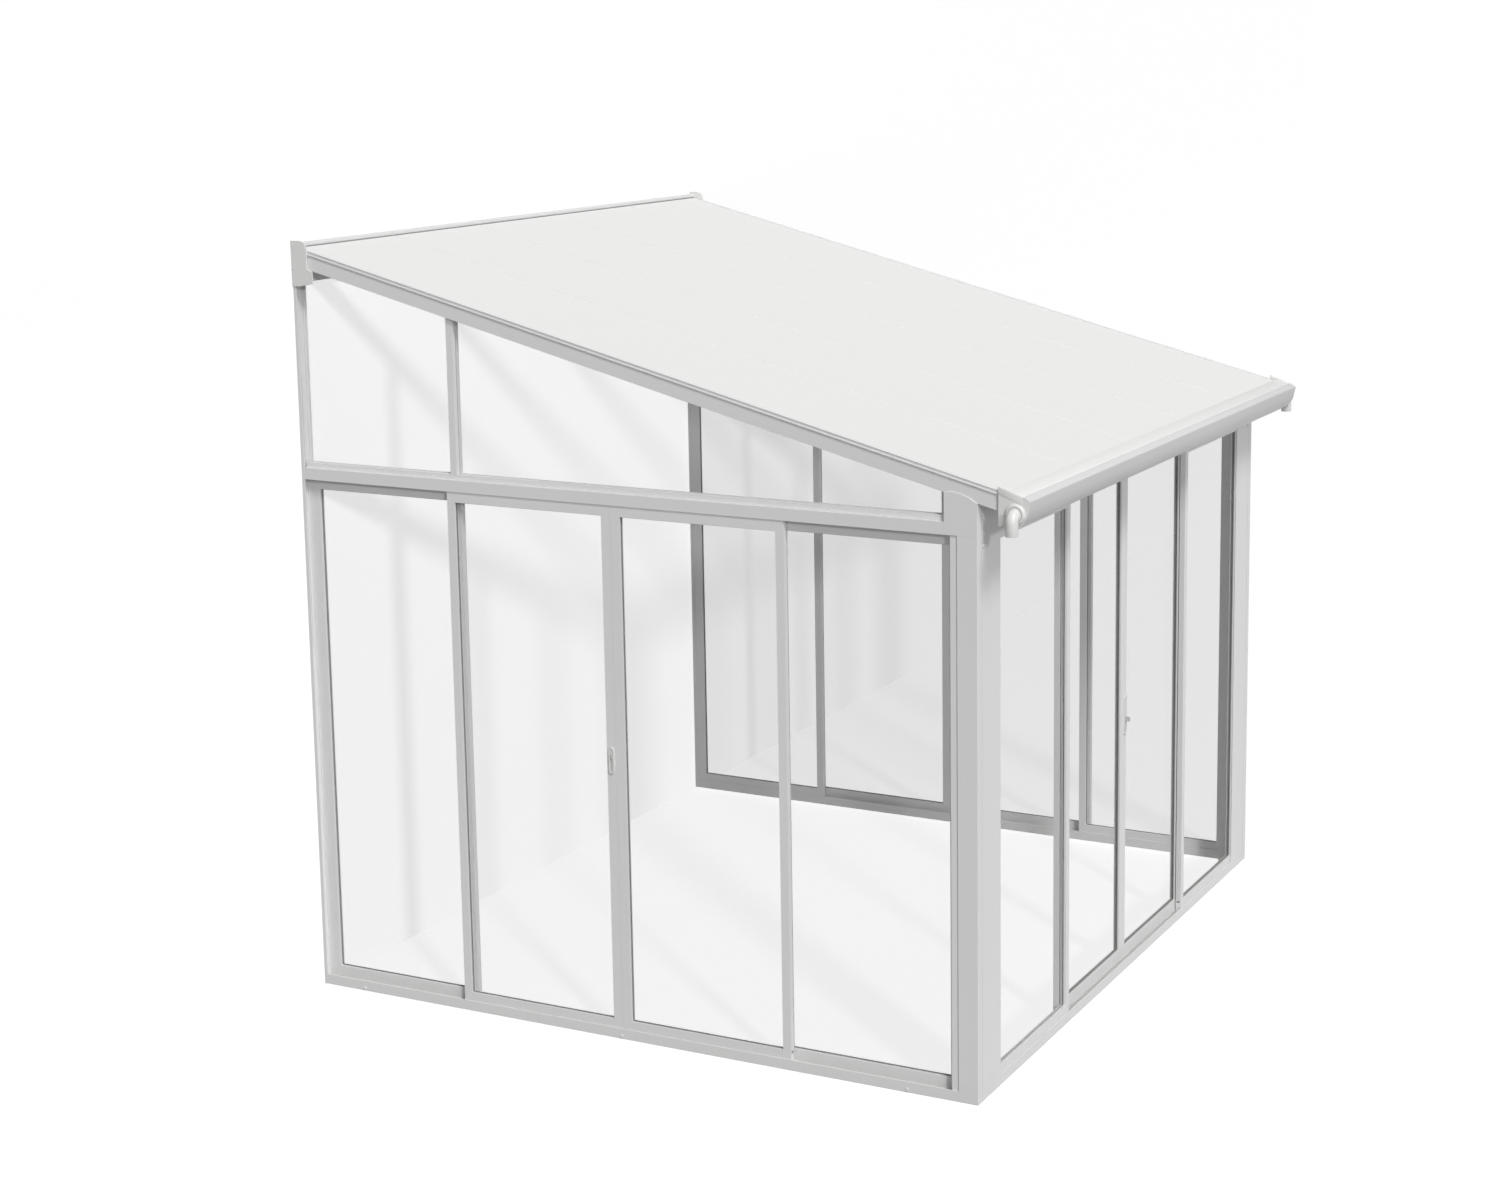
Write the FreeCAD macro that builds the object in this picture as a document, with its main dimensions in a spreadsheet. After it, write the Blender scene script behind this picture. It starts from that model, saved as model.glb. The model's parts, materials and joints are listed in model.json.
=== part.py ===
import FreeCAD, Part
import Sketcher

import os
import re

# Lean-to sunroom: white aluminium frame, clear panes, multiwall roof sheets.
# Millimetres, +Z up. The house wall is the plane y = +wall_y, the gutter faces -Y.
# t is the distance out from the house wall and d the depth in from a wall's outer face.
# Left pieces are modelled and the right ones are their mirror images.

doc = FreeCAD.newDocument("sunroom")
sheet = doc.addObject("Spreadsheet::Sheet", "Dims")

ROOF_SHEETS = 5

SIZES = (
    # overall
    ("outer_width", "3060"),
    ("post_line", "2925"),
    ("seat_gap", "0.3"),
    ("overcut", "1"),
    # roof
    ("roof_fall", "0.2495"),
    ("front_beam_rise", "73"),
    ("rafter_depth", "63"),
    ("rafter_width", "54"),
    ("roof_sheet", "10"),
    ("sheet_inset", "4"),
    ("seam_gap", "1"),
    ("bar_width", "40"),
    ("tube_wall", "3"),
    ("trim_thick", "2"),
    ("trim_width", "20"),
    ("trim_drop", "8"),
    # wall beam and its end caps
    ("beam_depth", "66"),
    ("beam_drop", "128"),
    ("upstand_thick", "24"),
    ("upstand_rise", "22"),
    ("beam_cap_thick", "6"),
    ("beam_cap_over", "10"),
    ("beam_cap_under", "20"),
    ("beam_cap_proud", "8"),
    ("cap_corner", "30"),
    ("cap_toe_out", "24"),
    ("cap_toe_sag", "2"),
    ("cap_toe_low", "14"),
    ("cap_toe_high", "60"),
    ("cap_toe_top", "72"),
    ("beam_bolt_radius", "4.5"),
    ("beam_bolt_inset", "330"),
    ("beam_bolt_rise", "60"),
    # wall section: lips, two tracks and a rib between them
    ("lip_thick", "3"),
    ("slide_gap", "1"),
    ("panel_thick", "24"),
    ("track_gap", "4"),
    ("rib_thick", "2"),
    ("sill_base", "6"),
    ("sill_lip_z", "42"),
    ("sill_rib_z", "30"),
    ("head_low_z", "2095"),
    ("head_height", "47"),
    ("head_plate", "4"),
    ("anchor_radius", "4.25"),
    ("anchor_first_t", "200"),
    ("anchor_end_inset", "207"),
    ("front_anchor_inset", "153"),
    # posts
    ("wall_post_depth", "14"),
    ("wall_bolt_radius", "4.5"),
    ("wall_bolt_first_z", "300"),
    ("wall_bolt_pitch", "1100"),
    ("post_gable_face", "78"),
    ("post_front_face", "205"),
    ("post_flange", "48"),
    ("post_groove_at", "38"),
    ("post_groove_width", "2"),
    ("post_groove_deep", "1"),
    ("gusset_reach", "128"),
    ("gusset_bulge", "15"),
    ("corner_screw_radius", "7.5"),
    ("corner_screw_height", "5"),
    ("corner_screw_inset", "55"),
    ("corner_screw_drop", "40"),
    ("corner_screw_step", "44"),
    ("corner_screw_jump", "58"),
    # upper gable glazing
    ("gable_bar_d", "14"),
    ("gable_bar_width", "40"),
    ("gable_bar_rise", "20"),
    ("mullion_shift", "14"),
    ("mullion_width", "30"),
    # sliding and fixed panels
    ("panel_lift", "6"),
    ("bottom_rail", "64"),
    ("top_rail", "64"),
    ("head_bite", "23"),
    ("glass_thick", "4"),
    ("glass_bite", "8"),
    ("stile_wall", "2.5"),
    ("wall_jamb_stile", "57"),
    ("post_jamb_stile", "44"),
    ("front_jamb_stile", "48"),
    ("lap_stile", "34"),
    ("gable_meet_stile", "40"),
    ("front_meet_stile", "33"),
    ("meet_gap", "0.6"),
    ("gable_lap", "46"),
    ("front_fixed_edge", "650"),
    ("front_lap", "36"),
    ("infill_width", "28"),
    # rollers in the bottom rails of the doors
    ("roller_radius", "12"),
    ("roller_width", "12"),
    ("roller_inset", "110"),
    ("axle_radius", "3"),
    ("axle_length", "20"),
    ("roller_slot_gap", "1.5"),
    # locks
    ("lock_width", "24"),
    ("lock_thick", "4"),
    ("lock_slot_width", "6"),
    ("lock_recess", "2"),
    ("lock_tail_width", "11.4"),
    ("lock_tail_height", "22"),
    ("lock_tail_spare", "3"),
    ("lock_slot_low", "10"),
    ("lock_knob_height", "18"),
    ("gable_lock_low_z", "1059"),
    ("gable_lock_height", "101"),
    ("gable_slot_height", "66"),
    ("gable_knob_out", "3"),
    ("front_lock_low_z", "985"),
    ("front_lock_height", "165"),
    ("front_slot_height", "66"),
    ("front_knob_out", "20"),
    # gutter and outlets
    ("eave_reach", "83"),
    ("gutter_width", "121"),
    ("gutter_height", "94"),
    ("gutter_lip_drop", "21"),
    ("gutter_back_gap", "3"),
    ("gutter_wall", "2.5"),
    ("gutter_floor_width", "81"),
    ("gutter_bend_rise", "40"),
    ("gutter_bend_out", "27"),
    ("gutter_lip_in", "16"),
    ("gutter_lip_rise", "13"),
    ("gutter_cap_thick", "6"),
    ("gutter_cap_rise", "7"),
    ("sheet_over_gutter", "32"),
    ("outlet_from_back", "66"),
    ("outlet_rise", "48"),
    ("pipe_radius", "23"),
    ("pipe_bore", "20"),
    ("collar_radius", "37"),
    ("collar_thick", "8"),
    ("bend_radius", "27"),
    ("pipe_drop", "72"),
    # small covers on the gable sills and screws in the beam caps
    ("weep_radius", "6"),
    ("weep_height", "3"),
    ("weep_z", "13"),
    ("cap_screw_radius", "4"),
    ("cap_screw_height", "2"),
    ("cap_screw_t", "10"),
    ("cap_screw_low", "50"),
    ("cap_screw_top", "8"),
)

DERIVED = (
    ("eave_t", "=post_line + eave_reach"),
    ("gutter_front_t", "=eave_t + gutter_width"),
    ("wall_y", "=gutter_front_t / 2"),
    ("half_width", "=outer_width / 2"),
    ("outer_face", "=lip_thick + slide_gap"),
    ("inner_face", "=outer_face + panel_thick + track_gap"),
    ("wall_thick", "=inner_face + panel_thick + slide_gap + lip_thick"),
    ("rib_d", "=outer_face + panel_thick + (track_gap - rib_thick) / 2"),
    ("head_high_z", "=head_low_z + head_height"),
    ("under_z", "=head_high_z + front_beam_rise + roof_fall * post_line"),
    ("rafter_top_z", "=under_z + rafter_depth"),
    ("eave_z", "=rafter_top_z - roof_fall * eave_t"),
    ("sheet_pitch", "=(outer_width - 2 * sheet_inset) / " + str(ROOF_SHEETS)),
    ("beam_low_z", "=rafter_top_z - beam_drop"),
    ("upstand_z", "=rafter_top_z + upstand_rise"),
    ("beam_cap_top_z", "=upstand_z + beam_cap_over"),
    ("beam_cap_low_z", "=beam_low_z - beam_cap_under"),
    ("beam_cap_depth", "=beam_depth + beam_cap_proud"),
    ("beam_cap_toe", "=beam_cap_depth + cap_toe_out"),
    ("beam_bolt_pitch", "=(outer_width - 2 * beam_bolt_inset) / 3"),
    ("beam_bolt_z", "=beam_low_z + beam_bolt_rise"),
    ("cap_screw_low_z", "=beam_low_z + cap_screw_low"),
    ("cap_screw_top_z", "=upstand_z - cap_screw_top"),
    ("gable_bar_high_z", "=head_high_z + gable_bar_rise"),
    ("panel_low_z", "=sill_base + panel_lift"),
    ("panel_high_z", "=head_low_z + head_bite"),
    ("rail_low_z", "=panel_low_z + bottom_rail"),
    ("rail_high_z", "=panel_high_z - top_rail"),
    ("corner_screw_low_z", "=head_low_z - corner_screw_drop"),
    ("corner_screw_mid_z", "=corner_screw_low_z + corner_screw_step"),
    ("corner_screw_top_z", "=corner_screw_mid_z + corner_screw_jump"),
    ("post_t", "=post_line - post_gable_face"),
    ("gable_meet_t", "=post_t / 2"),
    ("gable_door_width", "=(post_t - tube_wall + 2 * gable_lap - meet_gap) / 4"),
    ("mullion_t", "=gable_meet_t - meet_gap / 2 - gable_door_width + mullion_shift"),
    ("anchor_last_t", "=post_t - anchor_end_inset"),
    ("post_box", "=post_front_face - post_flange"),
    ("gusset_t", "=post_line - gusset_reach"),
    ("flange_x", "=half_width - post_front_face"),
    ("box_x", "=half_width - post_box"),
    ("roller_z", "=sill_base + roller_radius + seat_gap"),
    ("gutter_lip_z", "=eave_z - gutter_lip_drop"),
    ("gutter_low_z", "=gutter_lip_z - gutter_height"),
    ("outlet_t", "=eave_t + outlet_from_back"),
    ("outlet_z", "=gutter_low_z + outlet_rise"),
)

ROW = 1
for alias, text in SIZES + DERIVED:
    cell = "A" + str(ROW)
    sheet.set(cell, text)
    sheet.setAlias(cell, alias)
    ROW = ROW + 1
doc.recompute()

ALIASES = sorted([pair[0] for pair in SIZES + DERIVED], key=len, reverse=True)
PATTERN = re.compile(r"\b(" + "|".join(ALIASES) + r")\b")


def bound(text):
    """The expression with each sheet alias written as a cell of the sheet."""
    return PATTERN.sub(r"Dims.\1", "(" + text + ")")


def under(t):
    """Height of the rafters' underside at distance t from the house wall."""
    return "under_z - roof_fall * (" + t + ")"


def over(t):
    """Height of the rafters' top, where the roof sheets lie, at distance t."""
    return "rafter_top_z - roof_fall * (" + t + ")"


def box(name, x0, x1, y0, y1, z0, z1):
    """Box between two corners, each coordinate an expression of the sheet."""
    item = doc.addObject("Part::Box", name)
    item.setExpression("Length", bound("(" + x1 + ") - (" + x0 + ")"))
    item.setExpression("Width", bound("(" + y1 + ") - (" + y0 + ")"))
    item.setExpression("Height", bound("(" + z1 + ") - (" + z0 + ")"))
    item.setExpression("Placement.Base.x", bound(x0))
    item.setExpression("Placement.Base.y", bound(y0))
    item.setExpression("Placement.Base.z", bound(z0))
    return item


def wall_box(name, side, a0, a1, d0, d1, z0, z1):
    """Box on the left gable, along t, or on the front wall, along x, at depths d."""
    if side == "gable":
        x0 = "-half_width + (" + d0 + ")"
        x1 = "-half_width + (" + d1 + ")"
        return box(name, x0, x1, "wall_y - (" + a1 + ")", "wall_y - (" + a0 + ")", z0, z1)
    y0 = "wall_y - post_line + (" + d0 + ")"
    y1 = "wall_y - post_line + (" + d1 + ")"
    return box(name, a0, a1, y0, y1, z0, z1)


def wedge(name, x0, x1, t0, t1, low, high):
    """Prism between distances t0 and t1 whose low and high faces follow functions of t."""
    item = doc.addObject("Part::Wedge", name)
    item.setExpression("Xmin", bound(x0))
    item.setExpression("Xmax", bound(x1))
    item.setExpression("X2min", bound(x0))
    item.setExpression("X2max", bound(x1))
    item.setExpression("Ymin", bound("wall_y - (" + t1 + ")"))
    item.setExpression("Ymax", bound("wall_y - (" + t0 + ")"))
    item.setExpression("Zmin", bound(low(t1)))
    item.setExpression("Zmax", bound(high(t1)))
    item.setExpression("Z2min", bound(low(t0)))
    item.setExpression("Z2max", bound(high(t0)))
    return item


def rod(name, axis, x, y, z, radius, length):
    """Cylinder from a start point along +X, +Y or +Z."""
    item = doc.addObject("Part::Cylinder", name)
    turns = {"x": FreeCAD.Vector(0, 1, 0), "y": FreeCAD.Vector(-1, 0, 0)}
    if axis in turns:
        item.Placement = FreeCAD.Placement(FreeCAD.Vector(), FreeCAD.Rotation(turns[axis], 90))
    item.setExpression("Radius", bound(radius))
    item.setExpression("Height", bound(length))
    item.setExpression("Placement.Base.x", bound(x))
    item.setExpression("Placement.Base.y", bound(y))
    item.setExpression("Placement.Base.z", bound(z))
    return item


def fuse(name, items):
    """One solid joined from several that touch."""
    item = doc.addObject("Part::MultiFuse", name)
    item.Shapes = items
    item.Refine = True
    return item


def cut(name, base, tools):
    """The base with every tool taken out of it."""
    item = doc.addObject("Part::Cut", name)
    item.Base = base
    item.Tool = tools[0] if len(tools) == 1 else fuse(name + "_tools", tools)
    return item


def group(name, items):
    """Several separate solids kept together as one node."""
    item = doc.addObject("Part::Compound", name)
    item.Links = items
    return item


def mirror(name, source):
    """Mirror image of a left piece across the plane x = 0."""
    item = doc.addObject("Part::Mirroring", name)
    item.Source = source
    item.Normal = FreeCAD.Vector(1, 0, 0)
    item.Base = FreeCAD.Vector(0, 0, 0)
    return item


def profile(name, x0, length, points, inner=None):
    """Body padded along +X from a closed outline in the Y-Z plane, given as (t, z)."""
    body = doc.addObject("PartDesign::Body", name)
    sketch = body.newObject("Sketcher::SketchObject", name + "_sketch")
    planes = body.Origin.OriginFeatures
    sketch.AttachmentSupport = [(p, "") for p in planes if p.Role == "YZ_Plane"]
    sketch.MapMode = "FlatFace"
    for loop in (points, inner or ()):
        first = sketch.GeometryCount
        count = len(loop)
        spots = [FreeCAD.Vector(100 + 50 * k, 40 * k * (count - k), 0) for k in range(count)]
        for k in range(count):
            sketch.addGeometry(Part.LineSegment(spots[k], spots[(k + 1) % count]), False)
        for k in range(count):
            after = first + (k + 1) % count
            sketch.addConstraint(Sketcher.Constraint("Coincident", first + k, 2, after, 1))
        for k, (t, z) in enumerate(loop):
            across = Sketcher.Constraint("DistanceX", -1, 1, first + k, 1, spots[k].x)
            row = sketch.addConstraint(across)
            sketch.setExpression("Constraints[" + str(row) + "]", bound("wall_y - (" + t + ")"))
            upward = Sketcher.Constraint("DistanceY", -1, 1, first + k, 1, spots[k].y)
            row = sketch.addConstraint(upward)
            sketch.setExpression("Constraints[" + str(row) + "]", bound(z))
    doc.recompute()
    pad = body.newObject("PartDesign::Pad", name + "_pad")
    pad.Profile = sketch
    pad.setExpression("Length", bound(length))
    body.Tip = pad
    body.setExpression("Placement.Base.x", bound(x0))
    return body


NODES = []


def node(item, label):
    """Name a finished piece and keep it for writing."""
    item.Label = label
    NODES.append(item)
    return item


def node_pair(item, stem):
    """Keep a left piece and its mirror image as two nodes."""
    node(item, stem + "_left")
    node(mirror(stem + "_mirrored", item), stem + "_right")


def node_both(items, label):
    """Keep left pieces and their mirror images together as one node."""
    twins = [mirror(item.Name + "_twin", item) for item in items]
    return node(group(label + "_group", items + twins), label)

# Wall beam against the house, with the fixing holes in its back wall.
beam_outline = (
    ("0", "beam_low_z"), ("beam_depth", "beam_low_z"), ("beam_depth", over("beam_depth")),
    ("upstand_thick", over("upstand_thick")), ("upstand_thick", "upstand_z"), ("0", "upstand_z"),
)
beam_hollow = (
    ("tube_wall", "beam_low_z + tube_wall"),
    ("beam_depth - tube_wall", "beam_low_z + tube_wall"),
    ("beam_depth - tube_wall", over("beam_depth") + " - tube_wall"),
    ("tube_wall", over("tube_wall") + " - 2 * tube_wall"),
)
beam_body = profile("beam_body", "-half_width", "outer_width", beam_outline, beam_hollow)
beam_holes = []
for k in range(4):
    hole_x = "(" + str(k) + " - 1.5) * beam_bolt_pitch"
    hole = rod("beam_hole_" + str(k), "y", hole_x, "wall_y - tube_wall - overcut", "beam_bolt_z",
               "beam_bolt_radius", "tube_wall + 2 * overcut")
    beam_holes.append(hole)
node(cut("beam_cut", beam_body, beam_holes), "wall_beam")

# End caps of the wall beam, a plate with a rounded front corner and a lower toe.
cap_outline = (
    ("0", "beam_cap_low_z"), ("beam_cap_toe * 0.4", "beam_cap_low_z + cap_toe_sag"),
    ("beam_cap_toe", "beam_cap_low_z + cap_toe_low"),
    ("beam_cap_toe", "beam_cap_low_z + cap_toe_high"),
    ("beam_cap_depth", "beam_cap_low_z + cap_toe_top"),
    ("beam_cap_depth", "beam_cap_top_z - cap_corner"),
    ("beam_cap_depth - cap_corner * 0.13", "beam_cap_top_z - cap_corner * 0.5"),
    ("beam_cap_depth - cap_corner * 0.5", "beam_cap_top_z - cap_corner * 0.13"),
    ("beam_cap_depth - cap_corner", "beam_cap_top_z"), ("0", "beam_cap_top_z"),
)
beam_cap = profile("beam_cap", "-half_width - beam_cap_thick", "beam_cap_thick", cap_outline)
node_both([beam_cap], "wall_beam_caps")

# Wall posts: channels that hold the first fixed panel and the rear gable pane.
post_top = "beam_low_z"
post_web = wall_box("wall_post_web", "gable", "0", "tube_wall", "0", "wall_thick", "0", post_top)
post_lip_out = wall_box("wall_post_lip_out", "gable", "0", "wall_post_depth", "0", "lip_thick",
                        "0", post_top)
post_lip_in = wall_box("wall_post_lip_in", "gable", "0", "wall_post_depth",
                       "wall_thick - lip_thick", "wall_thick", "0", post_top)
post_joined = fuse("wall_post_joined", [post_web, post_lip_out, post_lip_in])
post_holes = []
for k in range(3):
    hole = rod("wall_post_hole_" + str(k), "y", "-half_width + outer_face + panel_thick / 2",
               "wall_y - tube_wall - overcut", "wall_bolt_first_z + " + str(k) + " * wall_bolt_pitch",
               "wall_bolt_radius", "tube_wall + 2 * overcut")
    post_holes.append(hole)
node_pair(cut("wall_post_cut", post_joined, post_holes), "wall_post")

# Corner posts: a hollow box cut to the roof slope, with a flange over the front panel's edge.
ground = lambda t: "0"
post_outer = wedge("corner_outer", "-half_width", "-box_x", "post_t", "post_line", ground, under)
post_flange = wedge("corner_flange", "-box_x", "-flange_x", "post_line - tube_wall", "post_line",
                    ground, under)
post_core = box("corner_core", "-half_width + tube_wall", "-box_x - tube_wall",
                "wall_y - post_line + tube_wall", "wall_y - post_t - tube_wall", "-overcut", "under_z")
post_notch = box("corner_notch", "-half_width - overcut", "-half_width + lip_thick",
                 "wall_y - post_line - overcut", "wall_y - post_t + overcut", "head_low_z", "under_z")
post_groove = box("corner_groove", "-half_width + post_groove_at",
                  "-half_width + post_groove_at + post_groove_width", "wall_y - post_line - overcut",
                  "wall_y - post_line + post_groove_deep", "-overcut", "under_z")
post_body = fuse("corner_body", [post_outer, post_flange])
node_pair(cut("corner_cut", post_body, [post_core, post_notch, post_groove]), "corner_post")

# Gusset plates over the joint of post, rafter and head, with an arched top edge.
gusset_outline = (
    ("gusset_t", "head_low_z"), ("post_line", "head_low_z"),
    ("post_line", under("post_line")),
    ("post_line - gusset_reach * 0.25", under("post_line - gusset_reach * 0.25") + " + gusset_bulge * 0.8"),
    ("post_line - gusset_reach * 0.5", under("post_line - gusset_reach * 0.5") + " + gusset_bulge"),
    ("post_line - gusset_reach * 0.75", under("post_line - gusset_reach * 0.75") + " + gusset_bulge * 0.8"),
    ("gusset_t", under("gusset_t")),
)
node_both([profile("gusset", "-half_width", "lip_thick", gusset_outline)], "corner_gussets")

# Pan-head screws on the front face of each corner post.
corner_screws = []
for spot in ("low", "mid", "top"):
    screw = doc.addObject("Part::Cone", "corner_screw_" + spot)
    screw.Placement = FreeCAD.Placement(FreeCAD.Vector(), FreeCAD.Rotation(FreeCAD.Vector(1, 0, 0), 90))
    screw.setExpression("Radius1", bound("corner_screw_radius"))
    screw.setExpression("Radius2", bound("corner_screw_radius * 0.6"))
    screw.setExpression("Height", bound("corner_screw_height"))
    screw.setExpression("Placement.Base.x", bound("-half_width + corner_screw_inset"))
    screw.setExpression("Placement.Base.y", bound("wall_y - post_line"))
    screw.setExpression("Placement.Base.z", bound("corner_screw_" + spot + "_z"))
    corner_screws.append(screw)
node_both(corner_screws, "corner_screws")

# Side rafters: hollow tubes from the wall beam to the gutter.
rafter_start = "beam_depth + seat_gap"
rafter_end = "eave_t - seat_gap"
rafter_outer = wedge("rafter_outer", "-half_width + lip_thick", "-half_width + lip_thick + rafter_width",
                     rafter_start, rafter_end, under, over)
rafter_core = wedge("rafter_core", "-half_width + lip_thick + tube_wall",
                    "-half_width + lip_thick + rafter_width - tube_wall",
                    "beam_depth - overcut", "eave_t + overcut",
                    lambda t: under(t) + " + tube_wall", lambda t: over(t) + " - tube_wall")
node_pair(cut("rafter_cut", rafter_outer, [rafter_core]), "side_rafter")

# Roof bars under the seams and the sheets on top of them.
bars = []
for k in range(1, ROOF_SHEETS):
    seam_x = "-half_width + sheet_inset + " + str(k) + " * sheet_pitch"
    bar_outer = wedge("bar_outer_" + str(k), seam_x + " - bar_width / 2", seam_x + " + bar_width / 2",
                      rafter_start, rafter_end, under, over)
    bar_core = wedge("bar_core_" + str(k), seam_x + " - bar_width / 2 + tube_wall",
                     seam_x + " + bar_width / 2 - tube_wall", "beam_depth - overcut", "eave_t + overcut",
                     lambda t: under(t) + " + tube_wall", lambda t: over(t) + " - tube_wall")
    bars.append(cut("bar_cut_" + str(k), bar_outer, [bar_core]))
node(group("bar_group", bars), "roof_bars")

roof_sheets = []
for k in range(ROOF_SHEETS):
    sheet_x = "-half_width + sheet_inset + " + str(k) + " * sheet_pitch"
    low_gap = " + seam_gap / 2" if k > 0 else ""
    high_gap = " - seam_gap / 2" if k < ROOF_SHEETS - 1 else ""
    roof_sheet = wedge("roof_sheet_" + str(k), sheet_x + low_gap, sheet_x + " + sheet_pitch" + high_gap,
                       "upstand_thick + seat_gap", "eave_t + sheet_over_gutter",
                       over, lambda t: over(t) + " + roof_sheet")
    roof_sheets.append(roof_sheet)
node(group("roof_sheet_group", roof_sheets), "roof_sheets")

# Edge trims that close the outer sheets' edges over the side rafters.
trim_top = wedge("trim_top", "-half_width", "-half_width + trim_width", rafter_start, rafter_end,
                 lambda t: over(t) + " + roof_sheet",
                 lambda t: over(t) + " + roof_sheet + trim_thick")
trim_side = wedge("trim_side", "-half_width", "-half_width + lip_thick", rafter_start, rafter_end,
                  lambda t: over(t) + " - trim_drop",
                  lambda t: over(t) + " + roof_sheet + trim_thick")
trim_left = fuse("trim_joined", [trim_top, trim_side])
node_both([trim_left], "roof_edge_trims")

# Gutter channel along the eave.
bend_t = "eave_t + gutter_floor_width + gutter_bend_out"
gutter_outline = (
    ("eave_t", "eave_z - gutter_back_gap"), ("eave_t", "gutter_low_z"),
    ("eave_t + gutter_floor_width", "gutter_low_z"),
    (bend_t, "gutter_low_z + gutter_bend_rise"),
    ("gutter_front_t", "gutter_lip_z"),
    ("gutter_front_t - gutter_lip_in", "gutter_lip_z + gutter_lip_rise"),
    ("gutter_front_t - gutter_lip_in - gutter_wall * 0.6",
     "gutter_lip_z + gutter_lip_rise - gutter_wall * 0.8"),
    ("gutter_front_t - gutter_wall * 1.16", "gutter_lip_z - gutter_wall * 0.36"),
    (bend_t + " - gutter_wall * 1.08", "gutter_low_z + gutter_bend_rise + gutter_wall * 0.28"),
    ("eave_t + gutter_floor_width - gutter_wall * 0.52", "gutter_low_z + gutter_wall"),
    ("eave_t + gutter_wall", "gutter_low_z + gutter_wall"),
    ("eave_t + gutter_wall", "eave_z - gutter_back_gap"),
)
node(profile("gutter_body", "-half_width", "outer_width", gutter_outline), "gutter")

# Gutter end caps with the outlet hole; their tops follow the roof and then fall with the lip.
gutter_cap_outline = (
    ("eave_t", "gutter_low_z"), ("eave_t + gutter_floor_width", "gutter_low_z"),
    (bend_t, "gutter_low_z + gutter_bend_rise"), ("gutter_front_t", "gutter_lip_z"),
    ("gutter_front_t - gutter_lip_in", "gutter_lip_z + gutter_lip_rise"),
    ("eave_t", "eave_z + roof_sheet + gutter_cap_rise"),
)
gutter_cap_body = profile("gutter_cap_body", "-half_width - gutter_cap_thick", "gutter_cap_thick",
                          gutter_cap_outline)
outlet_y = "wall_y - outlet_t"
outlet_hole = rod("outlet_hole", "x", "-half_width - gutter_cap_thick - overcut", outlet_y, "outlet_z",
                  "pipe_bore", "gutter_cap_thick + 2 * overcut")
node_both([cut("gutter_cap_cut", gutter_cap_body, [outlet_hole])], "gutter_caps")

# Outlet elbows: a collar on the cap, a quarter bend and a short drop pipe.
# An elbow is drawn about the middle of its collar's face and then moved to the outlet.
elbow_parts = []
for kind, radius in (("outer", "pipe_radius"), ("bore", "pipe_bore")):
    bend = doc.addObject("Part::Torus", "elbow_bend_" + kind)
    turned = FreeCAD.Rotation(FreeCAD.Vector(1, 0, 0), 90)
    bend.Placement = FreeCAD.Placement(FreeCAD.Vector(), turned)
    bend.setExpression("Radius1", bound("bend_radius"))
    bend.setExpression("Radius2", bound(radius))
    bend.setExpression("Placement.Base.z", bound("-bend_radius"))
    keep = box("elbow_keep_" + kind, "-bend_radius - pipe_radius - overcut", "0",
               "-pipe_radius - overcut", "pipe_radius + overcut",
               "-bend_radius", "pipe_radius + overcut")
    quarter = doc.addObject("Part::Common", "elbow_quarter_" + kind)
    quarter.Base = bend
    quarter.Tool = keep
    elbow_parts.append(quarter)
drop_length = "pipe_drop - bend_radius"
elbow_collar = rod("elbow_collar", "x", "0", "0", "0", "collar_radius", "collar_thick")
elbow_drop = rod("elbow_drop", "z", "-bend_radius", "0", "-pipe_drop", "pipe_radius", drop_length)
elbow_collar_bore = rod("elbow_collar_bore", "x", "0", "0", "0", "pipe_bore",
                        "collar_thick + overcut")
elbow_drop_bore = rod("elbow_drop_bore", "z", "-bend_radius", "0", "-pipe_drop - overcut", "pipe_bore",
                      drop_length + " + overcut")
elbow_outer = fuse("elbow_outer", [elbow_collar, elbow_parts[0], elbow_drop])
elbow = cut("elbow_cut", elbow_outer, [elbow_parts[1], elbow_collar_bore, elbow_drop_bore])
elbow.setExpression("Placement.Base.x", bound("-half_width - gutter_cap_thick - collar_thick"))
elbow.setExpression("Placement.Base.y", bound(outlet_y))
elbow.setExpression("Placement.Base.z", bound("outlet_z"))
node_both([elbow], "gutter_elbows")


def channel(name, side, a0, a1, lip_a0, lip_a1, z_plate0, z_plate1, z_lip0, z_lip1, z_rib0, z_rib1):
    """Track channel: a plate, the two lips and the rib between the tracks."""
    plate = wall_box(name + "_plate", side, a0, a1, "lip_thick", "wall_thick", z_plate0, z_plate1)
    outer = wall_box(name + "_outer", side, lip_a0, lip_a1, "0", "lip_thick", z_lip0, z_lip1)
    inner = wall_box(name + "_inner", side, a0, a1, "wall_thick - lip_thick", "wall_thick",
                     z_lip0, z_lip1)
    rib = wall_box(name + "_rib", side, a0, a1, "rib_d", "rib_d + rib_thick", z_rib0, z_rib1)
    return fuse(name + "_joined", [plate, outer, inner, rib])


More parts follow.
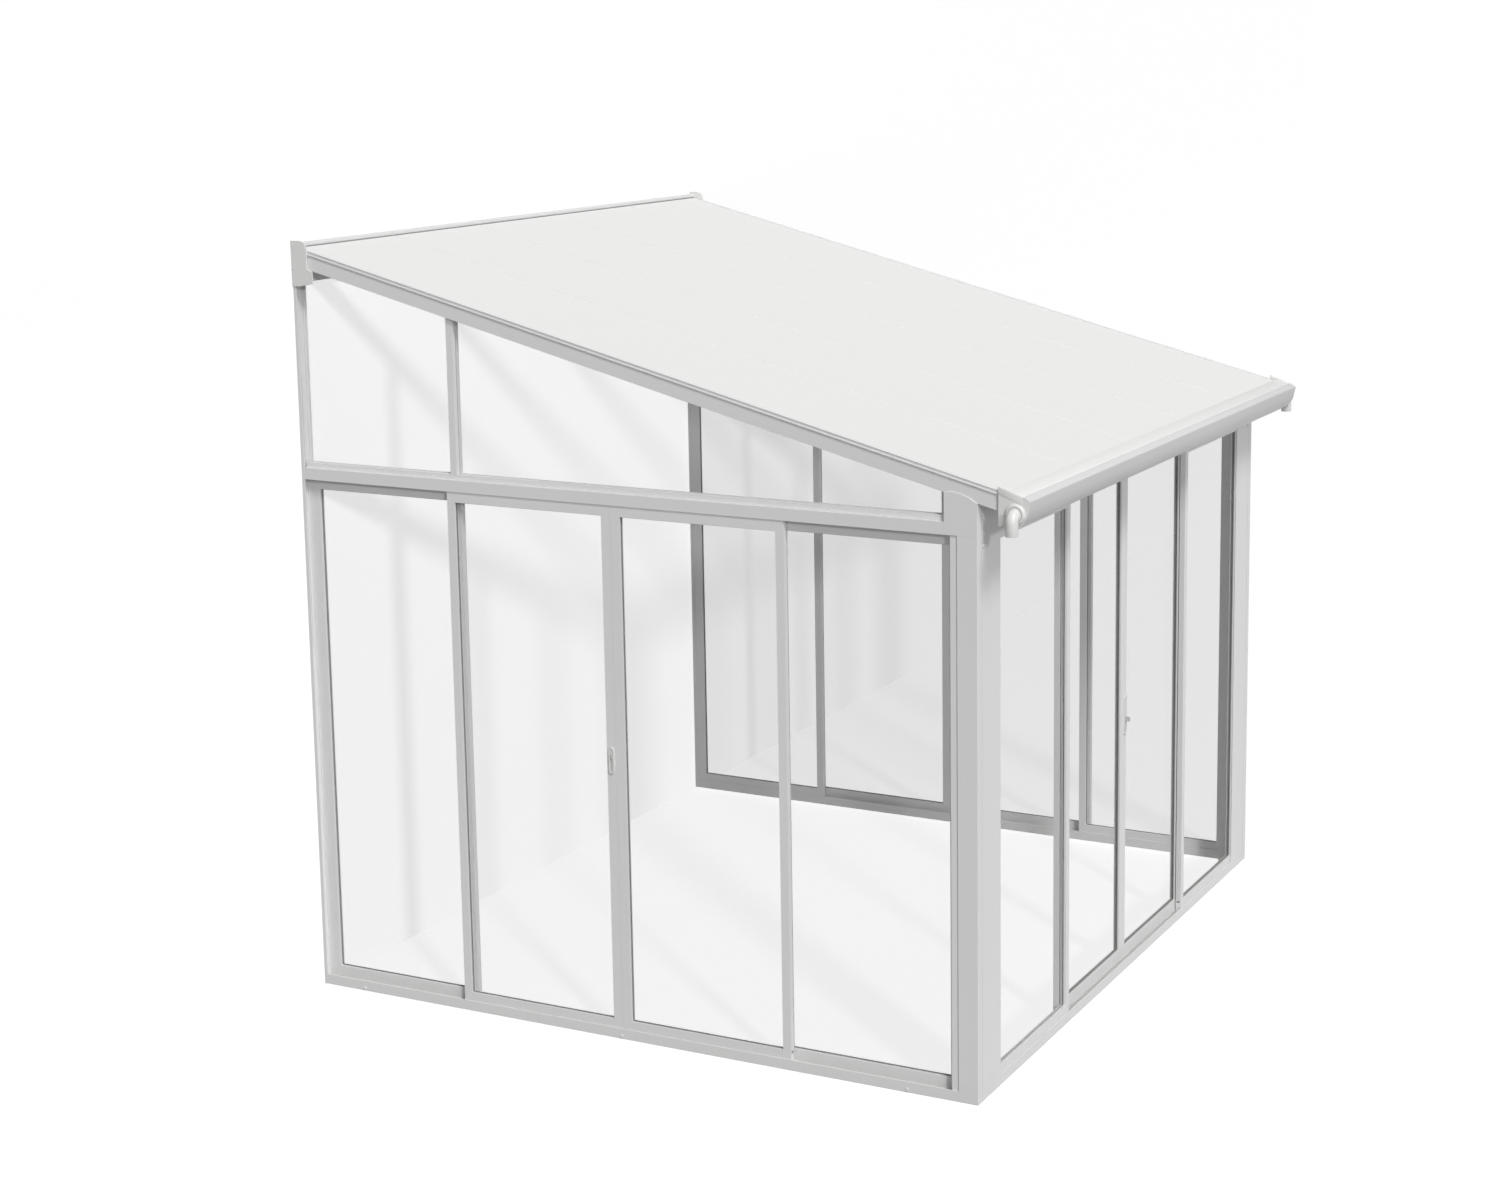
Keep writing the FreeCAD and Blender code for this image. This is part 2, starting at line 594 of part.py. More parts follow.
# Sills with anchor holes in the track that no fixed panel stands in, and heads over the panels.
gable_a0 = "wall_post_depth + seat_gap"
gable_a1 = "post_t - seat_gap"
front_a0 = "-box_x + seat_gap"
front_a1 = "box_x - seat_gap"
front_lip_a0 = "-flange_x + seat_gap"
front_lip_a1 = "flange_x - seat_gap"
gable_sill = channel("gable_sill", "gable", gable_a0, gable_a1, gable_a0, gable_a1,
                     "0", "sill_base", "0", "sill_lip_z", "0", "sill_rib_z")
front_sill = channel("front_sill", "front", front_a0, front_a1, front_lip_a0, front_lip_a1,
                     "0", "sill_base", "0", "sill_lip_z", "0", "sill_rib_z")
gable_anchor_holes = []
front_anchor_holes = []
for k in range(2):
    hole_t = ("anchor_first_t", "anchor_last_t")[k]
    gable_hole = rod("gable_anchor_" + str(k), "z", "-half_width + outer_face + panel_thick / 2",
                     "wall_y - (" + hole_t + ")", "-overcut", "anchor_radius",
                     "sill_base + 2 * overcut")
    gable_anchor_holes.append(gable_hole)
    hole_x = "(2 * " + str(k) + " - 1) * (box_x - front_anchor_inset)"
    front_hole = rod("front_anchor_" + str(k), "z", hole_x,
                     "wall_y - post_line + inner_face + panel_thick / 2", "-overcut",
                     "anchor_radius", "sill_base + 2 * overcut")
    front_anchor_holes.append(front_hole)
node_pair(cut("gable_sill_cut", gable_sill, gable_anchor_holes), "sill")
node(cut("front_sill_cut", front_sill, front_anchor_holes), "sill_front")
gable_head = channel("gable_head", "gable", gable_a0, gable_a1, gable_a0, "gusset_t - seat_gap",
                     "head_high_z - head_plate", "head_high_z", "head_low_z", "head_high_z",
                     "head_low_z", "head_high_z")
node_pair(gable_head, "head")
front_head = channel("front_head", "front", front_a0, front_a1, front_lip_a0, front_lip_a1,
                     "head_high_z - head_plate", "head_high_z", "head_low_z", "head_high_z",
                     "head_low_z", "head_high_z")
node(front_head, "head_front")

# Front beam over the front head, under the roof bars.
on_head = lambda t: "head_high_z"
front_beam_outer = wedge("front_beam_outer", front_a0, front_a1, "post_line - wall_thick",
                         "post_line - tube_wall - seat_gap", on_head, under)
front_beam_core = wedge("front_beam_core", "-half_width", "half_width",
                        "post_line - wall_thick + tube_wall",
                        "post_line - 2 * tube_wall - seat_gap",
                        lambda t: "head_high_z + tube_wall", lambda t: under(t) + " - tube_wall")
node(cut("front_beam_cut", front_beam_outer, [front_beam_core]), "front_beam")

# Upper gable glazing: bottom bar, mullion and two panes in their grooves.
pane_d0 = "gable_bar_d + gable_bar_width / 2 - glass_thick / 2"
pane_d1 = "gable_bar_d + gable_bar_width / 2 + glass_thick / 2"
groove_d0 = pane_d0 + " - seat_gap"
groove_d1 = pane_d1 + " + seat_gap"
pane_low_z = "gable_bar_high_z - glass_bite"
bar_block = wall_box("gable_bar_block", "gable", gable_a0, gable_a1, "gable_bar_d",
                     "gable_bar_d + gable_bar_width", "head_high_z", "gable_bar_high_z")
bar_groove = wall_box("gable_bar_groove", "gable", "0", "post_line", groove_d0, groove_d1,
                      pane_low_z + " - seat_gap", "gable_bar_high_z + overcut")
node_both([cut("gable_bar_cut", bar_block, [bar_groove])], "gable_bars")
mullion_end = "mullion_t + mullion_width"
on_bar = lambda t: "gable_bar_high_z"
mullion_block = wedge("mullion_block", "-half_width + gable_bar_d",
                      "-half_width + gable_bar_d + gable_bar_width", "mullion_t", mullion_end,
                      on_bar, under)
mullion_rear = wall_box("mullion_rear", "gable", "mullion_t - overcut", "mullion_t + glass_bite + seat_gap",
                        groove_d0, groove_d1, "head_high_z", "under_z")
mullion_fore = wall_box("mullion_fore", "gable", mullion_end + " - glass_bite - seat_gap",
                        mullion_end + " + overcut", groove_d0, groove_d1, "head_high_z", "under_z")
node_both([cut("mullion_cut", mullion_block, [mullion_rear, mullion_fore])], "gable_mullions")
on_groove = lambda t: pane_low_z
below_rafter = lambda t: under(t) + " - seat_gap"
pane_x0 = "-half_width + " + pane_d0
pane_x1 = "-half_width + " + pane_d1
rear_slope = wedge("rear_pane_slope", pane_x0, pane_x1, rafter_start, "mullion_t + glass_bite",
                   on_groove, below_rafter)
rear_edge = wall_box("rear_pane_edge", "gable", gable_a0, rafter_start, pane_d0, pane_d1,
                     pane_low_z, "beam_low_z - seat_gap")
rear_pane = fuse("rear_pane", [rear_slope, rear_edge])
fore_pane = wedge("fore_pane", pane_x0, pane_x1, mullion_end + " - glass_bite", gable_a1,
                  on_groove, below_rafter)
node_both([rear_pane, fore_pane], "gable_panes")


def panel(name, side, a0, a1, stile0, stile1, face, extra):
    """Glazed panel: the frame with its glass groove and hollow stiles, and the glass.

    extra holds the tools for roller slots, which only the doors have.
    """
    back = face + " + panel_thick"
    mid = face + " + panel_thick / 2"
    in0 = a0 + " + " + stile0
    in1 = a1 + " - " + stile1
    slab = wall_box(name + "_slab", side, a0, a1, face, back, "panel_low_z", "panel_high_z")
    light = wall_box(name + "_light", side, in0, in1, face + " - overcut", back + " + overcut",
                     "rail_low_z", "rail_high_z")
    groove = wall_box(name + "_groove", side, in0 + " - glass_bite - seat_gap",
                      in1 + " + glass_bite + seat_gap",
                      mid + " - glass_thick / 2 - seat_gap", mid + " + glass_thick / 2 + seat_gap",
                      "rail_low_z - glass_bite - seat_gap", "rail_high_z + glass_bite + seat_gap")
    hollow0 = wall_box(name + "_hollow0", side, a0 + " + stile_wall",
                       in0 + " - glass_bite - seat_gap - stile_wall", face + " + stile_wall",
                       back + " - stile_wall", "panel_low_z - overcut", "panel_high_z + overcut")
    hollow1 = wall_box(name + "_hollow1", side, in1 + " + glass_bite + seat_gap + stile_wall",
                       a1 + " - stile_wall", face + " + stile_wall",
                       back + " - stile_wall", "panel_low_z - overcut", "panel_high_z + overcut")
    frame = cut(name + "_frame", slab, [light, groove, hollow0, hollow1] + extra)
    glass = wall_box(name + "_glass", side, in0 + " - glass_bite", in1 + " + glass_bite",
                     mid + " - glass_thick / 2", mid + " + glass_thick / 2",
                     "rail_low_z - glass_bite", "rail_high_z + glass_bite")
    return frame, glass


def roller_set(name, side, a0, a1, face):
    """The two rollers of a door, each a wheel with its axle, and the slots they turn in."""
    mid = face + " + panel_thick / 2"
    wheels = []
    tools = []
    for end, at in (("a", a0 + " + roller_inset"), ("b", a1 + " - roller_inset")):
        tag = name + "_" + end
        slot = wall_box(tag + "_slot", side, at + " - roller_radius - roller_slot_gap",
                        at + " + roller_radius + roller_slot_gap",
                        mid + " - roller_width / 2 - roller_slot_gap / 3",
                        mid + " + roller_width / 2 + roller_slot_gap / 3",
                        "panel_low_z - overcut", "roller_z + roller_radius + roller_slot_gap")
        tools.append(slot)
        pieces = []
        for kind, radius, length in (("wheel", "roller_radius", "roller_width"),
                                     ("axle", "axle_radius", "axle_length"),
                                     ("bore", "axle_radius + seat_gap", "axle_length + 2 * seat_gap")):
            if side == "gable":
                start = "-half_width + " + mid + " - (" + length + ") / 2"
                piece = rod(tag + "_" + kind, "x", start, "wall_y - (" + at + ")", "roller_z",
                            radius, length)
            else:
                start = "wall_y - post_line + " + mid + " - (" + length + ") / 2"
                piece = rod(tag + "_" + kind, "y", at, start, "roller_z", radius, length)
            pieces.append(piece)
        tools.append(pieces[2])
        wheels.append(fuse(tag + "_roller", pieces[:2]))
    return wheels, tools


# Panel edges, along t on the gable and along x on the front.
rear_door = ("gable_meet_t - meet_gap / 2 - gable_door_width", "gable_meet_t - meet_gap / 2")
fore_door = ("gable_meet_t + meet_gap / 2", "gable_meet_t + meet_gap / 2 + gable_door_width")
rear_fixed = ("tube_wall + seat_gap", rear_door[0] + " + gable_lap")
fore_fixed = (fore_door[1] + " - gable_lap", gable_a1)
front_door = ("-front_fixed_edge - front_lap", "-meet_gap / 2")
front_fixed = (front_a0, "-front_fixed_edge")

# Fixed panels: inner track on the gables, outer track on the front.
fixed_rear, glass_rear = panel("fixed_rear", "gable", rear_fixed[0], rear_fixed[1],
                               "wall_jamb_stile", "lap_stile", "inner_face", [])
fixed_fore, glass_fore = panel("fixed_fore", "gable", fore_fixed[0], fore_fixed[1],
                               "lap_stile", "post_jamb_stile", "inner_face", [])
fixed_front, glass_front = panel("fixed_front", "front", front_fixed[0], front_fixed[1],
                                 "front_jamb_stile", "lap_stile", "outer_face", [])

# Infill strip that closes the outer track beside the corner post and stops the fore door.
infill_a0 = gable_a1 + " - infill_width"
infill_back = "outer_face + panel_thick"
infill_bar = wall_box("infill_bar", "gable", infill_a0, gable_a1, "outer_face", infill_back,
                      "panel_low_z", "panel_high_z")
infill_hollow = wall_box("infill_hollow", "gable", infill_a0 + " + stile_wall", gable_a1 + " - stile_wall",
                         "outer_face + stile_wall", infill_back + " - stile_wall",
                         "panel_low_z - overcut", "panel_high_z + overcut")
infill = cut("infill_tube", infill_bar, [infill_hollow])
node_both([fixed_rear, fixed_fore, fixed_front, infill], "fixed_frames")
node_both([glass_rear, glass_fore, glass_front], "fixed_panes")

# Sliding doors with their rollers: outer track on the gables, inner track on the front.
DOORS = (
    ("rear", "gable", rear_door, "lap_stile", "gable_meet_stile", "outer_face",
     ("door_left_rear", "door_right_rear")),
    ("fore", "gable", fore_door, "gable_meet_stile", "lap_stile", "outer_face",
     ("door_left_fore", "door_right_fore")),
    ("front", "front", front_door, "lap_stile", "front_meet_stile", "inner_face",
     ("door_front_left", "door_front_right")),
)
for tag, side, edges, stile0, stile1, face, labels in DOORS:
    wheels, tools = roller_set("roll_" + tag, side, edges[0], edges[1], face)
    frame_item, glass_item = panel("slide_" + tag, side, edges[0], edges[1], stile0, stile1, face, tools)
    node(frame_item, labels[0])
    node(mirror(labels[1] + "_shape", frame_item), labels[1])
    node(glass_item, labels[0] + "_glass")
    node(mirror(labels[1] + "_glass_shape", glass_item), labels[1] + "_glass")
    for end, wheel in zip(("a", "b"), wheels):
        node(wheel, labels[0] + "_roller_" + end)
        node(mirror(labels[1] + "_wheel_" + end, wheel), labels[1] + "_roller_" + end)


def lock(name, side, middle, face, low_z, height, slot_height, knob_out):
    """Lock plate with a slot, and the thumb slide that runs in it."""
    half = "lock_width / 2"
    high_z = low_z + " + " + height
    slab = wall_box(name + "_slab", side, middle + " - " + half, middle + " + " + half,
                    face + " - lock_thick", face, low_z + " + " + half, high_z + " - " + half)
    ends = []
    for tag, z in (("low", low_z + " + " + half), ("high", high_z + " - " + half)):
        if side == "gable":
            end = rod(name + "_end_" + tag, "x", "-half_width + " + face + " - lock_thick",
                      "wall_y - (" + middle + ")", z, half, "lock_thick")
        else:
            end = rod(name + "_end_" + tag, "y", middle,
                      "wall_y - post_line + " + face + " - lock_thick", z, half, "lock_thick")
        ends.append(end)
    plate = fuse(name + "_plate", [slab] + ends)
    slot_low = low_z + " + lock_slot_low"
    slot_high = slot_low + " + " + slot_height
    slot = wall_box(name + "_slot", side, middle + " - lock_slot_width / 2",
                    middle + " + lock_slot_width / 2", face + " - lock_thick - overcut", face + " + overcut",
                    slot_low, slot_high)
    recess = wall_box(name + "_recess", side, middle + " - lock_tail_width / 2 - seat_gap",
                      middle + " + lock_tail_width / 2 + seat_gap", face + " - lock_recess",
                      face + " + overcut", slot_low + " - lock_tail_spare",
                      slot_high + " + lock_tail_spare")
    cover = cut(name + "_cover", plate, [slot, recess])
    knob_high = slot_high + " - seat_gap"
    knob_low = knob_high + " - lock_knob_height"
    knob_mid = knob_high + " - lock_knob_height / 2"
    tail = wall_box(name + "_tail", side, middle + " - lock_tail_width / 2",
                    middle + " + lock_tail_width / 2", face + " - lock_recess + seat_gap",
                    face + " - seat_gap", knob_mid + " - lock_tail_height / 2",
                    knob_mid + " + lock_tail_height / 2")
    knob = wall_box(name + "_knob", side, middle + " - lock_slot_width / 2 + seat_gap",
                    middle + " + lock_slot_width / 2 - seat_gap",
                    face + " - lock_thick - " + knob_out, face + " - lock_recess + seat_gap",
                    knob_low, knob_high)
    slide = fuse(name + "_slide", [tail, knob])
    return cover, slide


gable_cover, gable_slide = lock("gable_lock", "gable", "gable_meet_t - gable_meet_stile / 2",
                                "outer_face", "gable_lock_low_z", "gable_lock_height",
                                "gable_slot_height", "gable_knob_out")
node_pair(gable_cover, "lock_plate")
node_pair(gable_slide, "lock_slide")
front_cover, front_slide = lock("front_lock", "front", "front_meet_stile / 2", "inner_face",
                                "front_lock_low_z", "front_lock_height", "front_slot_height",
                                "front_knob_out")
node(front_cover, "lock_plate_front")
node(front_slide, "lock_slide_front")

# Small covers over the drain slots of the gable sills, and the screws of the beam caps.
covers = []
for k in range(3):
    cover_t = "anchor_first_t + " + str(k) + " * (anchor_last_t - anchor_first_t) / 2"
    cover = rod("weep_" + str(k), "x", "-half_width - weep_height", "wall_y - (" + cover_t + ")",
                "weep_z", "weep_radius", "weep_height")
    covers.append(cover)
node_both(covers, "sill_covers")
cap_screws = []
for spot in ("low", "top"):
    screw = rod("cap_screw_" + spot, "x", "-half_width - beam_cap_thick - cap_screw_height",
                "wall_y - cap_screw_t", "cap_screw_" + spot + "_z", "cap_screw_radius",
                "cap_screw_height")
    cap_screws.append(screw)
node_both(cap_screws, "beam_cap_screws")

doc.recompute()

os.makedirs("parts", exist_ok=True)
for item in NODES:
    if "Invalid" in item.State or "Error" in item.State:
        raise RuntimeError(item.Label + " is " + ", ".join(item.State))
    if item.Shape.isNull() or not item.Shape.isValid():
        raise RuntimeError(item.Label + " has no valid shape")
for item in NODES:
    item.Shape.exportStep("parts/" + item.Label + ".step")
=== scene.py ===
"""Looks of a lean-to sunroom: finishes, seals, gutter, locks and fixings on its fixed CAD frame."""

import json
import logging
import math
from contextlib import contextmanager
from dataclasses import dataclass
from enum import Enum
from functools import lru_cache
from typing import Callable, Dict, Iterator, List, Mapping, Optional, Sequence, Tuple, Union

import bmesh
import bpy
from mathutils import Matrix, Vector

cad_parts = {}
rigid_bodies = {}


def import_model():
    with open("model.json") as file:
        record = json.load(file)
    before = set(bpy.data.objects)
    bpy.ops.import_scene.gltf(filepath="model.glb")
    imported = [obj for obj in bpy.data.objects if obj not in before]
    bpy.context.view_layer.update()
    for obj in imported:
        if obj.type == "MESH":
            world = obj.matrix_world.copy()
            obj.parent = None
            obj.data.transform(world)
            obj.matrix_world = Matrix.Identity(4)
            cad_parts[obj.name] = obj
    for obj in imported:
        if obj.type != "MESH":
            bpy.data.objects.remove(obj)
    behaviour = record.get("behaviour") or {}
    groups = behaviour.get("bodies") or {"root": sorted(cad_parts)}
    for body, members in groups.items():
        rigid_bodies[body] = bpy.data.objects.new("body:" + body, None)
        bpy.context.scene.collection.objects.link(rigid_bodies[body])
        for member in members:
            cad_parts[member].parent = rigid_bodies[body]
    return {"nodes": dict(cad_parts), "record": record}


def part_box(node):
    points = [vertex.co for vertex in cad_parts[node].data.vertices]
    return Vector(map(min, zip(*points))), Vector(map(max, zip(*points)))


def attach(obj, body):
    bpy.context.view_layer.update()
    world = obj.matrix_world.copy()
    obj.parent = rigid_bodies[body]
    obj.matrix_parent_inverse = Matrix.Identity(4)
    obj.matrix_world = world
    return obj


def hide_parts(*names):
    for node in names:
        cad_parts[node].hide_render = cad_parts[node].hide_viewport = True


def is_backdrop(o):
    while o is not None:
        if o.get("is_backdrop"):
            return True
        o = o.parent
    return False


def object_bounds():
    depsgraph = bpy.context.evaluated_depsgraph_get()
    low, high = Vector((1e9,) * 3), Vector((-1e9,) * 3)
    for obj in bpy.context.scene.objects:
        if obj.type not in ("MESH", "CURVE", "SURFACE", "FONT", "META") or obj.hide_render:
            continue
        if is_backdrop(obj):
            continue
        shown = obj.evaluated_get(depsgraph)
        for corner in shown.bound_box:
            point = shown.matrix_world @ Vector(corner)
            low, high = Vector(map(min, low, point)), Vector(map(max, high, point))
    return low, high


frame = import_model()
CAD_LOW, CAD_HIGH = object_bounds()
LOG = logging.getLogger("sunroom")

Piece = bpy.types.Object
Tree = bpy.types.NodeTree
Node = bpy.types.Node
Socket = bpy.types.NodeSocket
Box = Tuple[Vector, Vector]
Spot = Tuple[int, int, int]
Corner = Tuple[float, float]
Colour = Tuple[float, float, float]
Value = Union[float, Sequence[float], Socket]

IMAGE_WIDTH = 1500.0
SENSOR = 36.0
MM = 0.001
ROOF_FALL = 0.2495
HARD_ANGLE = math.radians(35)
SMOOTH_ANGLE = math.radians(40)
FACING = 0.9
NEAR = 0.1 * MM


class Axis(Enum):
    """The three axes of the shared frame."""

    X = 0
    Y = 1
    Z = 2


class Wall(Enum):
    """The glazed walls, each with the sign of its outward normal and its axis."""

    LEFT = (-1, Axis.X)
    RIGHT = (1, Axis.X)
    FRONT = (-1, Axis.Y)

    @property
    def sign(self) -> int:
        """Sign of the wall's outward normal."""
        return self.value[0]

    @property
    def axis(self) -> Axis:
        """Axis that the wall's outward normal lies along."""
        return self.value[1]


class Side(Enum):
    """The two faces of a pane, by the sign of their normal along its axis."""

    OUT = 1
    IN = -1


class Element(Enum):
    """The kinds of mesh element that are picked in edit mode."""

    VERT = "VERT"
    EDGE = "EDGE"
    FACE = "FACE"


class Kind(Enum):
    """The kinds of socket that a shared node group has."""

    COLOUR = "NodeSocketColor"
    NUMBER = "NodeSocketFloat"


class Bench:
    """Modelling by hand: primitives, edit-mode operators and applied modifiers."""

    seed: float = 10 * MM

    @staticmethod
    def clear() -> None:
        """Deselect every object."""
        bpy.ops.object.select_all(action="DESELECT")

    @staticmethod
    def take(piece: Piece) -> None:
        """Make a piece the only selected and active object.

        Args:
            piece: The piece.
        """
        Bench.clear()
        piece.select_set(True)
        bpy.context.view_layer.objects.active = piece

    @staticmethod
    def call(piece: Piece, name: str) -> Piece:
        """Name a piece and its mesh.

        Args:
            piece: The piece.
            name: Its name.

        Returns:
            The piece.
        """
        piece.name = name
        piece.data.name = name
        return piece

    @staticmethod
    @contextmanager
    def editing(piece: Piece, element: Element = Element.FACE) -> Iterator[bmesh.types.BMesh]:
        """Open a piece in edit mode with nothing selected.

        Args:
            piece: The object to edit.
            element: The kind of element that is picked.

        Returns:
            The edit mesh, for picking elements by their place.
        """
        Bench.take(piece)
        bpy.ops.object.mode_set(mode="EDIT")
        bpy.ops.mesh.select_mode(type=element.value)
        bpy.ops.mesh.select_all(action="DESELECT")
        try:
            yield bmesh.from_edit_mesh(piece.data)
        finally:
            bpy.ops.object.mode_set(mode="OBJECT")

    @staticmethod
    def pick(piece: Piece, elements: Sequence, test: Callable) -> None:
        """Select the elements of an edit mesh that pass a test.

        Args:
            piece: The object in edit mode.
            elements: Its verts, edges or faces.
            test: Says whether one element is wanted.
        """
        for element in elements:
            if test(element):
                element.select_set(True)
        bmesh.update_edit_mesh(piece.data)

    @staticmethod
    def pull(move: Sequence[float]) -> None:
        """Extrude what is selected in edit mode along a straight way."""
        bpy.ops.mesh.extrude_region_move(TRANSFORM_OT_translate={"value": move})

    @staticmethod
    def settle(piece: Piece) -> None:
        """Move a piece's place, turn and scale into its mesh."""
        Bench.take(piece)
        bpy.ops.object.transform_apply(location=True, rotation=True, scale=True)

    @staticmethod
    def block(name: str, low: Sequence[float], high: Sequence[float]) -> Piece:
        """Start a piece as a block between two corners.

        Args:
            name: The piece's name.
            low: Lowest corner in metres.
            high: Highest corner in metres.

        Returns:
            The new object, with its place in its mesh.
        """
        Bench.clear()
        low, high = Vector(low), Vector(high)
        bpy.ops.mesh.primitive_cube_add(size=1.0, location=(low + high) / 2)
        piece = Bench.call(bpy.context.object, name)
        piece.scale = high - low
        Bench.settle(piece)
        return piece

    @staticmethod
    def disc(name: str, centre: Sequence[float], axis: Axis, radius: float, depth: float,
             sides: int) -> Piece:
        """Start a piece as a short round bar about a centre.

        Args:
            name: The piece's name.
            centre: Middle of the bar in metres.
            axis: Axis that the bar lies along.
            radius: Its radius.
            depth: Its length.
            sides: Number of sides of the round.

        Returns:
            The new object, with its place in its mesh.
        """
        turns = {Axis.X: (0, math.pi / 2, 0), Axis.Y: (math.pi / 2, 0, 0), Axis.Z: (0, 0, 0)}
        Bench.clear()
        bpy.ops.mesh.primitive_cylinder_add(vertices=sides, radius=radius, depth=depth,
                                            location=Vector(centre), rotation=turns[axis])
        piece = Bench.call(bpy.context.object, name)
        Bench.settle(piece)
        return piece

    @staticmethod
    def open_through(piece: Piece, axis: Axis, width: float) -> None:
        """Inset both faces of a plate and bridge them through, which leaves a rim of even width.

        Args:
            piece: The plate.
            axis: Axis that the opening looks along.
            width: Width of the rim.
        """
        with Bench.editing(piece) as mesh:
            Bench.pick(piece, mesh.faces, lambda f: abs(f.normal[axis.value]) > FACING)
            bpy.ops.mesh.inset(thickness=width, depth=0.0, use_individual=True)
            bpy.ops.mesh.bridge_edge_loops()

    @staticmethod
    def slope(name: str, low: Sequence[float], high: Sequence[float], round_by: float,
              taper: float = 0.0) -> Piece:
        """A rounded bar that falls with the roof from the house towards the garden.

        Args:
            name: The piece's name.
            low: Lowest corner of the bar, as it would lie level.
            high: Highest corner, at the house end.
            round_by: Radius of its edges.
            taper: How much farther than the roof its garden end falls.

        Returns:
            The bar.
        """
        piece = Bench.block(name, low, high)
        middle = (low[1] + high[1]) / 2
        with Bench.editing(piece, Element.VERT) as mesh:
            Bench.pick(piece, mesh.verts, lambda v: v.co.y < middle)
            bpy.ops.transform.translate(value=(0, 0, -ROOF_FALL * (high[1] - low[1]) - taper))
        Bench.soften(piece, round_by, 3)
        return piece

    @staticmethod
    def sheet(name: str, points: Sequence[Sequence[float]], move: Sequence[float]) -> Piece:
        """Start a piece as a line, pulled out of one vertex point by point, and pull it out to a sheet.

        Args:
            name: The piece's name.
            points: The corners of the line in order.
            move: The way that the whole line is pulled.

        Returns:
            The sheet.
        """
        Bench.clear()
        bpy.ops.mesh.primitive_plane_add(size=Bench.seed, location=points[0])
        piece = Bench.call(bpy.context.object, name)
        Bench.settle(piece)
        with Bench.editing(piece, Element.VERT):
            bpy.ops.mesh.select_all(action="SELECT")
            bpy.ops.mesh.merge(type="CENTER")
            for here, there in zip(points, points[1:]):
                Bench.pull(Vector(there) - Vector(here))
        with Bench.editing(piece, Element.EDGE):
            bpy.ops.mesh.select_all(action="SELECT")
            Bench.pull(move)
        return piece

    @staticmethod
    def agree(piece: Piece) -> None:
        """Make the normals of a whole piece agree, outwards where it is closed.

        Args:
            piece: The piece.
        """
        with Bench.editing(piece):
            bpy.ops.mesh.select_all(action="SELECT")
            bpy.ops.mesh.normals_make_consistent(inside=False)

    @staticmethod
    def face_out(piece: Piece, way: Vector) -> None:
        """Turn a sheet so that its farthest face along a direction looks that way.

        Args:
            piece: The sheet.
            way: The direction.
        """
        Bench.agree(piece)
        last = max(piece.data.polygons, key=lambda p: p.center.dot(way))
        if last.normal.dot(way) < 0:
            with Bench.editing(piece):
                bpy.ops.mesh.select_all(action="SELECT")
                bpy.ops.mesh.flip_normals()

    @staticmethod
    def round_line(piece: Piece, corner: Corner, radius: float, steps: int) -> None:
        """Round the edge of a profile that runs along x through a corner.

        Args:
            piece: The swept profile.
            corner: The corner's y and z.
            radius: Radius of the round.
            steps: Number of faces in the round.
        """
        def on_corner(edge: bmesh.types.BMEdge) -> bool:
            """Whether both ends of an edge lie on the corner."""
            return all(math.hypot(v.co.y - corner[0], v.co.z - corner[1]) < NEAR for v in edge.verts)

        with Bench.editing(piece, Element.EDGE) as mesh:
            Bench.pick(piece, mesh.edges, on_corner)
            bpy.ops.mesh.bevel(offset=radius, segments=steps, affect="EDGES")

    @staticmethod
    def apply(piece: Piece, kind: str, **settings: object) -> None:
        """Add a modifier with its settings and apply it.

        Args:
            piece: The piece.
            kind: The modifier's type.
            settings: The modifier's settings by name.
        """
        Bench.take(piece)
        modifier = piece.modifiers.new(kind.lower(), kind)
        for key, value in settings.items():
            setattr(modifier, key, value)
        bpy.ops.object.modifier_apply(modifier=modifier.name)

    @staticmethod
    def soften(piece: Piece, width: float, segments: int = 2) -> None:
        """Round every hard edge of a piece and shade it smooth between hard edges.

        Args:
            piece: The piece.
            width: Width of the rounds.
            segments: Number of faces in each round.
        """
        Bench.apply(piece, "BEVEL", width=width, segments=segments, limit_method="ANGLE",
                    angle_limit=HARD_ANGLE, use_clamp_overlap=True)
        Bench.smooth(piece)

    @staticmethod
    def smooth(piece: Piece) -> None:
        """Shade a piece smooth between its hard edges."""
        Bench.take(piece)
        bpy.ops.object.shade_smooth_by_angle(angle=SMOOTH_ANGLE)

    @staticmethod
    def join(name: str, pieces: Sequence[Piece]) -> Piece:
        """Join several pieces into the first.

        Args:
            name: Name of the result.
            pieces: Two pieces or more.

        Returns:
            The joined piece.
        """
        Bench.clear()
        for piece in pieces:
            piece.select_set(True)
        bpy.context.view_layer.objects.active = pieces[0]
        bpy.ops.object.join()
        return Bench.call(pieces[0], name)

    @staticmethod
    def flip(piece: Piece, name: str) -> Piece:
        """Copy a piece as its mirror image across x = 0, with its faces outwards.

        Args:
            piece: The piece.
            name: The copy's name.

        Returns:
            The copy, with a mesh of its own.
        """
        twin = piece.copy()
        twin.data = piece.data.copy()
        Bench.call(twin, name)
        bpy.context.scene.collection.objects.link(twin)
        twin.data.transform(Matrix.Scale(-1, 4, (1, 0, 0)))
        Bench.agree(twin)
        return twin


def feed(tree: Tree, node: Node, takes: Mapping[Union[int, str], Value]) -> None:
    """Feed the inputs of a shader node.

    Args:
        tree: The tree that the node is in.
        node: The node.
        takes: What each input takes: a value, or the output of another node.
    """
    for key, value in takes.items():
        if isinstance(value, Socket):
            tree.links.new(value, node.inputs[key])
        else:
            node.inputs[key].default_value = value


